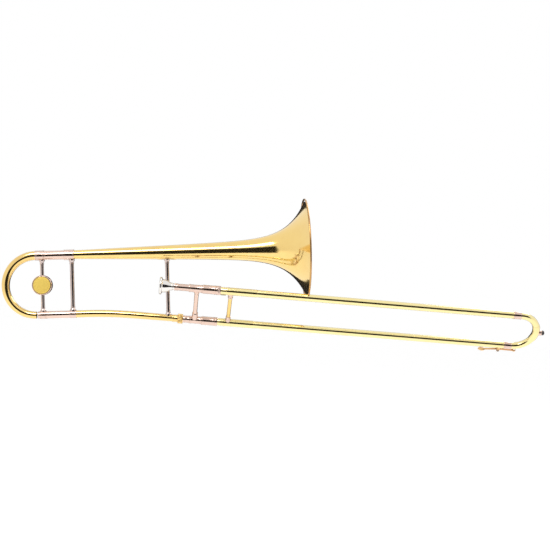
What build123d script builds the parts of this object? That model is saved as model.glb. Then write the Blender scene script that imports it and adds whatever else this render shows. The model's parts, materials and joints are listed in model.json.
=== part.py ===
from build123d import *
from math import acos, cos, degrees, exp, radians, sin, sqrt, tan
import os

# Tenor trombone in millimetres. The origin is on the slide's lower tube axis, where the bell section
# and the hand slide are locked together. +X runs along the hand slide away from the player's lips,
# +Z runs from the slide up to the bell. Two local frames are used besides this one:
# the neck frame, whose X is the bell axis direction, and the slide frame, turned about X.

# Fits
running_gap = 0.05            # radial clearance of telescoping tubes
loose_gap = 0.3               # clearance between pieces that move past each other without a fit
solder_gap = 0.02             # room for solder between pieces of one body

# Layout
neck_corner_x = -150.0        # where the neck line meets the slide line
neck_tilt = 6.4               # degrees between the bell axis and the slide
bell_height = 126.0           # bell axis above the neck tube, square to both
rim_clearance = 2.4           # room left between the bell's rim and the slide turned up against it
slide_spacing = 86.0          # distance between the two slide tubes

# Bell, with stations measured along the neck frame
bell_rim_u = 424.0
bell_tail_u = -88.0
bell_edge_radius = 105.7      # outside of the sheet where it turns into the rim curl
bell_tail_radius = 8.67
bell_taper = 0.029            # radius gained per millimetre of stem
bell_flare_reach = 38.5       # distance in which the flare dies away to 1/e
bell_wall = 0.5
bell_seam_from_rim = 124.0    # brazed seam between stem and flare
rim_wire_radius = 1.3
rim_curl_wall = 0.6

# Tuning slide tubes
upper_leg_radius = 9.05
lower_leg_radius = 7.3
tube_wall = 0.4
bow_wall = 0.5
bow_tangent_u = -153.0
upper_bow_step = 0.5          # radius gained from the leg to the bow
lower_bow_step = 0.2
upper_bow_ferrule_length = 18.3
lower_bow_ferrule_start_u = -146.0
lower_bow_ferrule_length = 13.0
ferrule_wall = 0.9
ferrule_overlap = 6.0         # how far a tube end reaches into its ferrule
bell_tail_ferrule_front_u = -71.5
bell_tail_ferrule_length = 21.5
bell_tail_ferrule_radius = 11.0
neck_ferrule_start_u = -84.0
neck_ferrule_length = 14.0
leg_end_gap = 2.5

# Neck tube from the tuning slide to the slide receiver
neck_tube_radius = 7.5
neck_end_radius = 7.0
neck_bend_radius = 850.0
neck_end_x = -13.0

# Braces
tuning_brace_u = -139.5
tuning_brace_radius = 4.0
neck_brace_u = -77.0
neck_brace_radius = 4.5
bell_brace_u = 124.0
bell_brace_radius = 4.3
flange_thickness = 0.9
flange_length = 11.0
flange_width = 12.0
bell_flange_length = 40.0
bell_flange_width = 18.0
inner_brace_x = 30.3
inner_brace_radius = 4.6
inner_foot_radius = 6.4
outer_brace_x = 101.5
outer_brace_radius = 4.2
outer_foot_radius = 6.2
foot_height = 12.0
foot_collar_rise = 0.9

# Counterweight, a disc clamped on the tuning brace with its faces square to Y
weight_radius = 20.8
weight_thickness = 19.0
weight_chamfer = 1.6
weight_cap_radius = 18.0
weight_cap_rise = 1.5
weight_screw_spacing = 22.0
weight_screw_radius = 1.75
weight_screw_head_radius = 3.2
weight_screw_head_depth = 2.2
hex_socket_width = 2.6

# Bell lock: receiver, tenon and captive nut
receiver_front_x = 1.0
receiver_thread_start_x = -6.0
receiver_thread_rise = 0.5    # thread radius above the receiver's body
receiver_wall = 0.8
receiver_overlap = 4.5
tenon_back_x = -11.5
tenon_radius = 6.8
tenon_wall = 0.5
tenon_flange_rise = 0.7       # flange radius above the tenon's body
tenon_flange_thickness = 1.6
tenon_body_wall = 0.475
tenon_tube_seat_x = 6.0
nut_half_length = 5.4
nut_wall = 2.22
nut_flute_count = 24
nut_flute_radius = 0.7
face_gap = 0.3

# Slide tubes
slide_bore_radius = 6.675
inner_tube_wall = 0.35
stocking_wall = 0.1
stocking_length = 130.0
outer_tube_wall = 0.35
inner_tube_end_x = 700.0
inner_tube_room = 16.0        # outer tube beyond the inner tube's end with the slide closed

# Slide hardware, lower tube then upper tube
lower_sleeve_start_x = 20.0
lower_sleeve_length = 26.0
upper_sleeve_start_x = 13.6
upper_sleeve_length = 29.0
brace_sleeve_wall = 0.875
sleeve_bead_width = 2.0
sleeve_bead_rise = 0.6
barrel_length = 33.1
barrel_wall = 1.225
barrel_end_wall = 4.0
barrel_ring_length = 9.0
barrel_ring_rise = 0.35
felt_thickness = 2.6
grip_sleeve_wall = 0.475
lower_grip_start_x = 83.0
upper_grip_start_x = 92.2
grip_sleeve_end_x = 157.0
leadpipe_length = 203.0
leadpipe_wall = 0.655

# Slide lock ring on the upper barrel
lock_neck_length = 3.8
lock_neck_drop = 0.6          # step down from the barrel to the ring's seat
lock_ring_wall = 0.6
lock_ring_length = 8.0
lock_groove_depth = 0.45      # groove radius above the ring's seat
lock_groove_length = 2.7
lock_pin_radius = 0.8
lock_pin_rise = 1.2
lock_slot_gap = 0.35
lock_lug_length = 11.2
lock_lug_width = 5.0
lock_lug_rise = 2.6

# Mouthpiece and its receiver
mouthpiece_receiver_x = -17.0
mouthpiece_receiver_end_x = 37.0
mouthpiece_receiver_wall = 0.6
receiver_ring_rise = 0.7
shank_mouth_radius = 6.35
shank_end_radius = 5.4
shank_end_x = 34.0
rim_face_x = -48.0
rim_outer_radius = 18.2
rim_inner_radius = 12.8
rim_depth = 5.0
cup_body_radius = 13.3
cup_depth = 22.0
throat_radius = 3.2
backbore_end_radius = 4.7

# End bow, its ferrules and the bumper
end_bow_radius = 7.3
end_bow_wall = 0.5
end_bow_straight = 9.0
bow_ferrule_wall = 0.725
bow_ferrule_length = 17.0
guard_thickness = 0.7
guard_half_height = 20.0
bumper_radius = 5.15
bumper_length = 10.5
bumper_socket_radius = 6.2
bumper_socket_length = 5.0

# Water key under the lower tube
key_pivot_back = 19.0         # pivot behind the end of the outer tube
key_pivot_drop = 4.9          # pivot below the tube's surface
key_nipple_ahead = 17.5       # nipple beyond the end of the outer tube, on the bow
key_nipple_radius = 3.2
key_nipple_bore = 1.5
key_nipple_height = 2.3
key_finger_reach = 37.0
key_finger_drop = 3.7
key_arm_width = 4.0
key_arm_thickness = 1.6
key_barrel_radius = 2.2
key_barrel_length = 10.0
key_screw_radius = 1.0
key_ear_thickness = 1.8
key_cork_radius = 3.5
key_cork_thickness = 2.4
key_cup_wall = 0.8
key_spring_wire = 0.3
key_spring_turns = 2.5
key_spring_pitch = 0.68

# Sizes that follow from the ones above
bell_length = bell_rim_u - bell_tail_u
outer_tube_end_x = inner_tube_end_x + inner_tube_room
key_pivot_x = outer_tube_end_x - key_pivot_back
key_nipple_x = outer_tube_end_x + key_nipple_ahead
bow_upper_radius = upper_leg_radius + upper_bow_step
bow_lower_radius = lower_leg_radius + lower_bow_step
bow_middle_radius = (bow_upper_radius + bow_lower_radius) / 2
inner_tube_radius = slide_bore_radius + inner_tube_wall
stocking_radius = inner_tube_radius + stocking_wall
outer_tube_bore = stocking_radius + 2 * running_gap
outer_tube_radius = outer_tube_bore + outer_tube_wall
brace_sleeve_radius = inner_tube_radius + brace_sleeve_wall
grip_sleeve_radius = outer_tube_radius + grip_sleeve_wall
barrel_radius = outer_tube_radius + loose_gap + barrel_wall
lock_neck_radius = barrel_radius - lock_neck_drop
lock_groove_radius = lock_neck_radius + running_gap + lock_groove_depth
lock_ring_radius = lock_groove_radius + lock_ring_wall
bow_ferrule_radius = max(outer_tube_radius, end_bow_radius) + bow_ferrule_wall
leadpipe_bore_radius = slide_bore_radius - solder_gap - leadpipe_wall
mouthpiece_receiver_radius = shank_mouth_radius + running_gap + mouthpiece_receiver_wall
tenon_body_radius = inner_tube_radius + tenon_body_wall
tenon_flange_radius = tenon_body_radius + tenon_flange_rise
receiver_body_radius = max(tenon_radius + running_gap, neck_end_radius) + receiver_wall
receiver_thread_radius = receiver_body_radius + receiver_thread_rise
nut_bore_radius = max(receiver_thread_radius, tenon_flange_radius) + running_gap + 0.03
nut_radius = nut_bore_radius + nut_wall
neck_frame = Location((neck_corner_x, 0, 0), (0, -neck_tilt, 0))
lower_barrel_start_x = lower_sleeve_start_x + lower_sleeve_length
upper_barrel_start_x = upper_sleeve_start_x + upper_sleeve_length
lower_outer_start_x = lower_barrel_start_x + barrel_end_wall + felt_thickness + loose_gap
upper_outer_start_x = upper_barrel_start_x + barrel_end_wall + felt_thickness + loose_gap
upper_barrel_end_x = upper_barrel_start_x + barrel_length
bow_centre_radius = bell_height / 2
lower_tube = Pos(0, 0, 0)
upper_tube = Pos(0, 0, slide_spacing)


def lathe(*points):
    # Turned piece about X from (x, radius) points.
    return revolve(make_face(Polyline(*points, close=True)), Axis.X, 360)


def tube(start, end, outer, inner):
    return lathe((start, inner), (end, inner), (end, outer), (start, outer))


def rod(start, end, radius):
    return lathe((start, 0), (end, 0), (end, radius), (start, radius))


def upright(piece, x):
    # Stands a piece turned about X on the X axis at x, pointing up Z.
    return Pos(x, 0, 0) * Rot(0, -90, 0) * piece


def across(piece, x, z):
    # Lays a piece turned about X along Y through (x, z).
    return Pos(x, 0, z) * Rot(0, 0, 90) * piece


def beaded_sleeve(start, end, outer, inner):
    bead = outer + sleeve_bead_rise
    return lathe((start, inner), (end, inner), (end, bead), (end - sleeve_bead_width, bead),
                 (end - sleeve_bead_width, outer), (start + sleeve_bead_width, outer),
                 (start + sleeve_bead_width, bead), (start, bead))


def saddle(tube_radius, length, width, side):
    # Thin oval foot wrapped on a tube along X, above it (side 1) or below it (side -1).
    shell = tube(-length / 2, length / 2, tube_radius + flange_thickness, tube_radius + solder_gap)
    blank = extrude(Ellipse(length / 2, width / 2), side * (tube_radius + 2 * flange_thickness))
    return shell & blank


def brace_rod(x, low_z, low_radius, high_z, high_radius, radius):
    # Rod between two tubes along X, its ends hollowed to sit on round seats.
    bar = upright(rod(low_z, high_z, radius), x)
    reach = 3 * radius
    bar -= Pos(x, 0, low_z) * rod(-reach, reach, low_radius + solder_gap)
    bar -= Pos(x, 0, high_z) * rod(-reach, reach, high_radius + solder_gap)
    return bar


def bell_radius(u):
    back = bell_rim_u - u
    rise = bell_edge_radius - bell_tail_radius - bell_taper * bell_length
    return bell_tail_radius + bell_taper * (bell_length - back) + rise * exp(-back / bell_flare_reach)


def bell_inward(u, depth):
    # Point at the given depth under the bell's outer skin, square to it.
    step = 0.01
    slope = (bell_radius(u + step) - bell_radius(u - step)) / (2 * step)
    scale = depth / sqrt(1 + slope * slope)
    return u + slope * scale, bell_radius(u) - scale


def bell_sheet(start, end, outer_depth, inner_depth, count, crowding):
    # Section of the bell's wall; crowding above 1 packs the curve's points towards the rim.
    stations = [end - (end - start) * (1 - k / count) ** crowding for k in range(count + 1)]
    outer = Spline(*[bell_inward(u, outer_depth) for u in stations])
    inner = Spline(*[bell_inward(u, inner_depth) for u in stations])
    return make_face([outer, Line(outer @ 1, inner @ 1), inner, Line(inner @ 0, outer @ 0)])


def bell_pieces():
    seam = bell_rim_u - bell_seam_from_rim
    stem = revolve(bell_sheet(bell_tail_u, seam, 0, bell_wall, 16, 1.3), Axis.X, 360)
    curl_radius = rim_wire_radius + rim_curl_wall
    centre = bell_inward(bell_rim_u, -(curl_radius - bell_wall / 2))
    sheet = bell_sheet(seam, bell_rim_u, 0, bell_wall, 26, 1.6)
    curl = Pos(*centre) * (Circle(curl_radius) - Circle(rim_wire_radius + solder_gap))
    flare = revolve(sheet + curl, Axis.X, 360)
    wire = revolve(Pos(*centre) * Circle(rim_wire_radius), Axis.X, 360)
    lift = Pos(0, 0, bell_height)
    return lift * stem, lift * flare, lift * wire


def bell_rim_radius():
    curl_radius = rim_wire_radius + rim_curl_wall
    return bell_inward(bell_rim_u, -(curl_radius - bell_wall / 2))[1] + curl_radius


def slide_swivel():
    # Degrees that the slide is turned out of the bell's plane: its upper tube lies along the bell's rim.
    height = bell_height + bell_rim_u * tan(radians(neck_tilt))
    reach = bell_rim_radius() + outer_tube_radius + rim_clearance
    opposite = slide_spacing ** 2 + height ** 2 - reach ** 2
    return degrees(acos(opposite / (2 * slide_spacing * height)))


def bell_tail_ferrule():
    back = bell_tail_ferrule_front_u - bell_tail_ferrule_length
    tail = bell_tail_u
    front = bell_tail_ferrule_front_u
    sleeve = upper_leg_radius + running_gap + tube_wall
    rim = bell_tail_ferrule_radius - 0.8
    return Pos(0, 0, bell_height) * lathe(
        (back, sleeve), (tail, sleeve), (tail, bell_radius(tail) + solder_gap),
        (front, bell_radius(front) + solder_gap), (front, rim), (front - 2, bell_tail_ferrule_radius),
        (back + 2, bell_tail_ferrule_radius), (back, rim))


def tuning_sleeves():
    upper_start = bow_tangent_u + upper_bow_ferrule_length + face_gap
    upper_bore = upper_leg_radius + running_gap
    upper = Pos(0, 0, bell_height) * tube(upper_start, bell_tail_u, upper_bore + tube_wall, upper_bore)
    lower_start = lower_bow_ferrule_start_u + lower_bow_ferrule_length + face_gap
    lower_bore = lower_leg_radius + running_gap
    lower_end = neck_ferrule_start_u + neck_ferrule_length / 2
    return upper, tube(lower_start, lower_end, lower_bore + tube_wall, lower_bore)


def neck_ferrule():
    middle = neck_ferrule_start_u + neck_ferrule_length / 2
    end = neck_ferrule_start_u + neck_ferrule_length
    sleeve = lower_leg_radius + running_gap + tube_wall
    outer = neck_tube_radius + ferrule_wall
    return lathe((neck_ferrule_start_u, sleeve), (middle, sleeve), (middle, neck_tube_radius),
                 (end, neck_tube_radius), (end, outer - 0.4), (end - 1, outer),
                 (neck_ferrule_start_u + 1, outer), (neck_ferrule_start_u, outer - 0.4))


def neck_bend_point(part):
    # Point on the bend's centre line, from its slide end (0) to its bell end (1).
    start = neck_corner_x + neck_bend_radius * tan(radians(neck_tilt / 2))
    turned = radians(neck_tilt * part)
    return start - neck_bend_radius * sin(turned), 0, neck_bend_radius * (cos(turned) - 1)


def gooseneck():
    tangent = neck_bend_radius * tan(radians(neck_tilt / 2))
    straight = tube(neck_ferrule_start_u + neck_ferrule_length / 2, -tangent,
                    neck_tube_radius, neck_tube_radius - bow_wall)
    bend_end = neck_corner_x + tangent
    ring = Plane(origin=(bend_end, 0, 0), z_dir=(1, 0, 0)) * (
        Circle(neck_tube_radius) - Circle(neck_tube_radius - bow_wall))
    line = ThreePointArc(neck_bend_point(0), neck_bend_point(0.5), neck_bend_point(1))
    bend = sweep(ring, path=line)
    taper_end = neck_end_x - receiver_overlap
    taper = lathe((bend_end, neck_tube_radius - bow_wall), (taper_end, neck_end_radius - bow_wall),
                  (neck_end_x, neck_end_radius - bow_wall), (neck_end_x, neck_end_radius),
                  (taper_end, neck_end_radius), (bend_end, neck_tube_radius))
    return neck_frame * straight + bend + taper


def neck_brace():
    low = neck_tube_radius + ferrule_wall
    high = bell_tail_ferrule_radius
    bar = brace_rod(neck_brace_u, 0, low + flange_thickness, bell_height, high + flange_thickness,
                    neck_brace_radius)
    flanges = Pos(neck_brace_u, 0, 0) * saddle(low, flange_length, flange_width, 1)
    flanges += Pos(neck_brace_u, 0, bell_height) * saddle(high, flange_length, flange_width, -1)
    return bar, flanges


def bell_brace():
    # The rod is square to the bell axis, so it leans on the neck tube, which runs along X there.
    line_x = neck_corner_x + bell_brace_u * cos(radians(neck_tilt))
    line_z = bell_brace_u * sin(radians(neck_tilt))
    foot_x = line_x + line_z * tan(radians(neck_tilt))
    foot_v = -line_z / cos(radians(neck_tilt))
    bar = neck_frame * upright(rod(foot_v, bell_height, bell_brace_radius), bell_brace_u)
    half = bell_flange_length / 2
    low = bell_brace_u - half
    high = bell_brace_u + half
    seat = -flange_thickness
    padded = [(low - 5, 0), (high + 5, 0), bell_inward(high + 5, seat), bell_inward(low - 5, seat)]
    bar -= neck_frame * Pos(0, 0, bell_height) * lathe(*padded)
    tangent = neck_bend_radius * tan(radians(neck_tilt / 2))
    taper_end = neck_end_x - receiver_overlap
    fall = (neck_tube_radius - neck_end_radius) / (taper_end - neck_corner_x - tangent)
    seat_radius = neck_end_radius + fall * (taper_end - foot_x)
    foot_seat = seat_radius + fall * flange_length / 2
    bar -= Pos(foot_x, 0, 0) * rod(-15, 15, foot_seat + flange_thickness + solder_gap)
    foot = Pos(foot_x, 0, 0) * saddle(foot_seat, flange_length, flange_width, 1)
    outline = Polyline((-half, 0), (0, -bell_flange_width / 2), (half, 0), (0, bell_flange_width / 2),
                       close=True)
    diamond = fillet(make_face(outline).vertices(), 2.5)
    blank = extrude(Pos(bell_brace_u, 0) * diamond, -(bell_radius(high) + 2 * flange_thickness))
    skin = lathe(bell_inward(low, -solder_gap), bell_inward(high, -solder_gap),
                 bell_inward(high, seat), bell_inward(low, seat))
    flange = neck_frame * Pos(0, 0, bell_height) * (skin & blank)
    return bar, flange + foot


def bell_receiver():
    back = neck_end_x - receiver_overlap
    bore = tenon_radius + running_gap
    start = receiver_thread_start_x
    return lathe((back, neck_end_radius + solder_gap), (neck_end_x, neck_end_radius + solder_gap),
                 (neck_end_x, bore), (receiver_front_x, bore), (receiver_front_x, receiver_thread_radius),
                 (start, receiver_thread_radius), (start, receiver_body_radius),
                 (back + 1, receiver_body_radius), (back, receiver_body_radius - 0.5))


def tuning_bow():
    top = bell_height
    path = ThreePointArc((bow_tangent_u, 0, top), (bow_tangent_u - top / 2, 0, top / 2),
                         (bow_tangent_u, 0, 0))

    def filled(inset):
        radii = (bow_upper_radius - inset, bow_middle_radius - inset, bow_lower_radius - inset)
        sections = [Plane(origin=path @ (k / 2), z_dir=path % (k / 2)) * Circle(radii[k])
                    for k in range(3)]
        return sweep(sections=sections, path=path, multisection=True)

    bow = filled(0) - filled(bow_wall)
    upper_end = bow_tangent_u + ferrule_overlap
    lower_end = lower_bow_ferrule_start_u + ferrule_overlap
    bow += Pos(0, 0, top) * tube(bow_tangent_u, upper_end, bow_upper_radius, bow_upper_radius - bow_wall)
    bow += tube(bow_tangent_u, lower_end, bow_lower_radius, bow_lower_radius - bow_wall)
    return bow


def bow_ferrule(start, length, bow_radius, leg_radius):
    step = start + ferrule_overlap
    end = start + length
    outer = bow_radius + ferrule_wall
    return lathe((start, bow_radius + solder_gap), (step, bow_radius + solder_gap),
                 (step, leg_radius + solder_gap), (end, leg_radius + solder_gap), (end, outer),
                 (start + 1, outer), (start, outer - 0.5))


def tuning_slide_pieces():
    high = Pos(0, 0, bell_height)
    upper = high * bow_ferrule(bow_tangent_u, upper_bow_ferrule_length, bow_upper_radius, upper_leg_radius)
    lower = bow_ferrule(lower_bow_ferrule_start_u, lower_bow_ferrule_length, bow_lower_radius,
                        lower_leg_radius)
    upper_end = bell_tail_u - leg_end_gap
    lower_end = neck_ferrule_start_u + neck_ferrule_length / 2 - leg_end_gap
    upper_leg = high * tube(bow_tangent_u + ferrule_overlap, upper_end, upper_leg_radius,
                            upper_leg_radius - tube_wall)
    lower_leg = tube(lower_bow_ferrule_start_u + ferrule_overlap, lower_end, lower_leg_radius,
                     lower_leg_radius - tube_wall)
    return upper, lower, upper_leg, lower_leg


def tuning_brace():
    low = bow_lower_radius + ferrule_wall
    high = bow_upper_radius + ferrule_wall
    bar = brace_rod(tuning_brace_u, 0, low + flange_thickness, bell_height, high + flange_thickness,
                    tuning_brace_radius)
    flanges = Pos(tuning_brace_u, 0, 0) * saddle(low, flange_length, flange_width, 1)
    flanges += Pos(tuning_brace_u, 0, bell_height) * saddle(high, flange_length, flange_width, -1)
    return bar, flanges


def weight_screw():
    # Socket-head screw along X, head's face at x = 0, shank towards +X.
    shank_end = weight_thickness - 6
    head = lathe((0, 0), (0, weight_screw_head_radius), (weight_screw_head_depth, weight_screw_head_radius),
                 (weight_screw_head_depth, weight_screw_radius), (shank_end, weight_screw_radius),
                 (shank_end, 0))
    socket = RegularPolygon(hex_socket_width / 2, 6, major_radius=False)
    return head - extrude(Plane.YZ * socket, 1.4)


def counterweight():
    # Two half discs clamped on the brace by two screws from the back, with a cap on the front.
    half = weight_thickness / 2
    edge = weight_radius - weight_chamfer
    front = rod(solder_gap / 2, half - weight_chamfer, weight_radius)
    front += lathe((half - weight_chamfer, 0), (half - weight_chamfer, weight_radius), (half, edge),
            (half, 0))
    place = Pos(tuning_brace_u, 0, bell_height / 2)
    turn_front = Rot(0, 0, -90)
    turn_back = Rot(0, 0, 90)
    groove = upright(rod(-2 * weight_radius, 2 * weight_radius, tuning_brace_radius + solder_gap), 0)
    screws = Part()
    holes = Part()
    for side in (-1, 1):
        spot = Pos(side * weight_screw_spacing / 2, half - 1, 0) * Rot(0, 0, -90)
        screws += spot * weight_screw()
        pocket = lathe((-2, 0), (-2, weight_screw_head_radius + 0.2),
                       (weight_screw_head_depth, weight_screw_head_radius + 0.2),
                       (weight_screw_head_depth, weight_screw_radius + solder_gap),
                       (weight_thickness - 5.5, weight_screw_radius + solder_gap),
                           (weight_thickness - 5.5, 0))
        holes += spot * pocket
    front_half = turn_front * front - groove - holes
    back_half = turn_back * front - groove - holes
    cap = turn_front * lathe((half, 0), (half, weight_cap_radius), (half + weight_cap_rise - 0.6,
            weight_cap_radius),
                             (half + weight_cap_rise, weight_cap_radius - 0.8), (half + weight_cap_rise, 0))
    return place * front_half, place * back_half, place * cap, place * screws


def slide_tenon():
    flange_x = receiver_front_x + face_gap
    body_x = flange_x + tenon_flange_thickness
    bore = tenon_radius - tenon_wall
    return lathe((tenon_back_x, bore), (tenon_tube_seat_x, bore),
                 (tenon_tube_seat_x, inner_tube_radius), (lower_sleeve_start_x, inner_tube_radius),
                 (lower_sleeve_start_x, tenon_body_radius), (body_x, tenon_body_radius),
                 (body_x, tenon_flange_radius), (flange_x, tenon_flange_radius),
                 (flange_x, tenon_radius), (tenon_back_x + 0.5, tenon_radius),
                 (tenon_back_x, tenon_radius - 0.3))


def bell_lock_nut():
    lip_x = receiver_front_x + face_gap + tenon_flange_thickness + running_gap * 4
    lip = tenon_body_radius + running_gap + 0.03
    nut = lathe((-nut_half_length, nut_bore_radius), (lip_x, nut_bore_radius), (lip_x, lip),
                (nut_half_length, lip),
                (nut_half_length, nut_radius - 0.8), (nut_half_length - 0.8, nut_radius),
                (0.8 - nut_half_length, nut_radius), (-nut_half_length, nut_radius - 0.8))
    for k in range(nut_flute_count):
        flute = Pos(0, 0, nut_radius + nut_flute_radius / 2) * rod(-nut_half_length + 2,
                nut_half_length - 2,
                                                                   nut_flute_radius)
        nut -= Rot(k * 360 / nut_flute_count, 0, 0) * flute
    return nut


def slide_inner_tubes():
    lower = tube(tenon_tube_seat_x, inner_tube_end_x, inner_tube_radius, slide_bore_radius)
    upper = upper_tube * tube(mouthpiece_receiver_end_x, inner_tube_end_x, inner_tube_radius,
                              slide_bore_radius)
    stocking = tube(inner_tube_end_x - stocking_length, inner_tube_end_x, stocking_radius,
            inner_tube_radius)
    start = mouthpiece_receiver_end_x
    leadpipe = tube(start, start + leadpipe_length, slide_bore_radius - solder_gap, leadpipe_bore_radius)
    return lower, upper, stocking, upper_tube * stocking, upper_tube * leadpipe


def cork_barrels():
    bore = outer_tube_radius + loose_gap
    ring = barrel_radius + barrel_ring_rise
    start = lower_barrel_start_x
    end = start + barrel_length
    lower = lathe((start, inner_tube_radius), (start + barrel_end_wall, inner_tube_radius),
                  (start + barrel_end_wall, bore), (end, bore), (end, ring), (end - barrel_ring_length,
                      ring),
                  (end - barrel_ring_length, barrel_radius), (start + 2, barrel_radius),
                  (start + 2, ring), (start, ring))
    start = upper_barrel_start_x
    end = upper_barrel_end_x
    neck = end - lock_neck_length
    upper = lathe((start, inner_tube_radius), (start + barrel_end_wall, inner_tube_radius),
                  (start + barrel_end_wall, bore), (end, bore), (end, lock_neck_radius),
                  (neck, lock_neck_radius), (neck, barrel_radius), (start + 2, barrel_radius),
                  (start + 2, ring), (start, ring))
    return lower, upper_tube * upper


def slide_felts():
    felts = Part()
    for start, place in ((lower_barrel_start_x, lower_tube), (upper_barrel_start_x, upper_tube)):
        seat = start + barrel_end_wall
        felts += place * tube(seat, seat + felt_thickness, outer_tube_radius,
                inner_tube_radius + running_gap)
    return felts


def slide_lock_ring():
    start = upper_barrel_end_x - lock_neck_length + loose_gap / 2
    end = start + lock_ring_length
    groove_x = upper_barrel_end_x + loose_gap
    lip_x = groove_x + lock_groove_length
    neck_bore = lock_neck_radius + running_gap
    lip_bore = outer_tube_radius + loose_gap
    ring = lathe((start, neck_bore), (groove_x, neck_bore), (groove_x, lock_groove_radius),
                 (lip_x, lock_groove_radius), (lip_x, lip_bore), (end, lip_bore), (end,
                     lock_ring_radius - 0.5),
                 (end - 0.5, lock_ring_radius), (start + 0.5, lock_ring_radius), (start,
                     lock_ring_radius - 0.5))
    slot_height = lock_groove_radius - outer_tube_radius
    slot = Box(end - lip_x + 2, 2 * (lock_pin_radius + lock_slot_gap), slot_height)
    slot_x = (lip_x + end) / 2
    return upper_tube * (ring - Pos(slot_x, 0, -outer_tube_radius - slot_height / 2) * slot)


def slide_lock_pin():
    # Bayonet pin and the lug behind it, both soldered under the upper outer tube.
    pin_x = upper_barrel_end_x + loose_gap + lock_groove_length / 2
    reach = outer_tube_radius + lock_pin_rise
    pin = upright(rod(-reach, 0, lock_pin_radius), pin_x)
    lug_x = upper_barrel_end_x - lock_neck_length + loose_gap / 2 + lock_ring_length + 0.5
    depth = outer_tube_radius + lock_lug_rise
    lug = Pos(lug_x + lock_lug_length / 2, 0, -depth / 2) * Box(lock_lug_length, lock_lug_width, depth)
    lug = fillet(lug.edges().filter_by(Axis.Y).group_by(Axis.Z)[0], 1.8)
    core = rod(pin_x - 5, lug_x + lock_lug_length + 5, outer_tube_radius + solder_gap)
    return upper_tube * (pin + lug - core)


def outer_tubes():
    lower = tube(lower_outer_start_x, outer_tube_end_x, outer_tube_radius, outer_tube_bore)
    upper = tube(upper_outer_start_x, outer_tube_end_x, outer_tube_radius, outer_tube_bore)
    return lower, upper_tube * upper


def grip_sleeve(start):
    return beaded_sleeve(start, grip_sleeve_end_x, grip_sleeve_radius, outer_tube_radius + solder_gap)


def slide_brace(x, seat_radius, radius, foot_radius, feet):
    # Cross rod between the slide tubes with flared ferrules where feet says so (low, high).
    bar = brace_rod(x, 0, seat_radius, slide_spacing, seat_radius, radius)
    ferrules = Part()
    collar = radius + foot_collar_rise
    for side, wanted in ((0, feet[0]), (1, feet[1])):
        if not wanted:
            continue
        foot = lathe((0, 0), (0, foot_radius), (seat_radius + 1.5, foot_radius), (seat_radius + 4, collar),
                     (seat_radius + foot_height, collar), (seat_radius + foot_height + 1, radius + 0.2),
                     (seat_radius + foot_height + 1, 0))
        foot -= rod(-1, slide_spacing, radius + solder_gap)
        foot = Rot(0, -90, 0) * foot
        if side:
            foot = Pos(0, 0, slide_spacing) * Rot(180, 0, 0) * foot
        foot = Pos(x, 0, 0) * foot
        seat = Pos(x, 0, side * slide_spacing) * rod(-15, 15, seat_radius + solder_gap)
        ferrules += foot - seat
    return bar, ferrules


def end_bow():
    middle = slide_spacing / 2
    start = outer_tube_end_x
    bend_x = start + end_bow_straight
    ring = Plane.YZ * (Circle(end_bow_radius) - Circle(end_bow_radius - end_bow_wall))
    half_turn = revolve(Pos(bend_x, 0, 0) * ring, Axis((bend_x, 0, middle), (0, -1, 0)), 180)
    legs = tube(start, bend_x, end_bow_radius, end_bow_radius - end_bow_wall)
    bow = half_turn + legs + upper_tube * legs
    return bow - upright(rod(-end_bow_radius * 2, 0, key_nipple_bore), key_nipple_x)


def bow_ferrules():
    start = outer_tube_end_x - bow_ferrule_length / 2
    end = start + bow_ferrule_length
    ferrule = lathe((start, outer_tube_radius + solder_gap), (outer_tube_end_x,
            outer_tube_radius + solder_gap),
                    (outer_tube_end_x, end_bow_radius + solder_gap), (end, end_bow_radius + solder_gap),
                    (end, bow_ferrule_radius - 0.4), (end - 1, bow_ferrule_radius),
                    (start + 1, bow_ferrule_radius), (start, bow_ferrule_radius - 0.4))
    return ferrule + upper_tube * ferrule


def bow_torus(radius):
    middle = slide_spacing / 2
    bend_x = outer_tube_end_x + end_bow_straight
    return Pos(bend_x, 0, middle) * Rot(90, 0, 0) * Torus(middle, radius)


def bow_guard():
    middle = slide_spacing / 2
    bend_x = outer_tube_end_x + end_bow_straight
    shell = bow_torus(end_bow_radius + guard_thickness) - bow_torus(end_bow_radius + solder_gap)
    outer_half = Pos(bend_x + middle + end_bow_radius, 0, middle) * Box(
        2 * end_bow_radius, 4 * end_bow_radius, 2 * guard_half_height)
    bore = Pos(bend_x, 0, middle) * rod(0, 2 * middle, bumper_socket_radius + solder_gap)
    return (shell & outer_half) - bore


def bumper():
    middle = slide_spacing / 2
    apex = outer_tube_end_x + end_bow_straight + middle + end_bow_radius
    socket = lathe((apex - 4, 0), (apex - 4, bumper_socket_radius), (apex + bumper_socket_length - 1,
            bumper_socket_radius),
                   (apex + bumper_socket_length, bumper_radius + 0.5), (apex + bumper_socket_length,
                       bumper_radius + solder_gap),
                   (apex + 1.2, bumper_radius + solder_gap), (apex + 1.2, 0))
    socket = Pos(0, 0, middle) * socket - bow_torus(end_bow_radius + solder_gap)
    tip = apex + 1.3 + bumper_length
    rubber = Pos(0, 0, middle) * rod(apex + 1.3, tip, bumper_radius)
    rubber = fillet(rubber.edges().sort_by(Axis.X)[-1], 1.6)
    return socket, rubber


def key_pivot_z():
    return -(outer_tube_radius + key_pivot_drop)


def nipple_seat_z():
    return -(end_bow_radius + key_nipple_height)


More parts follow.
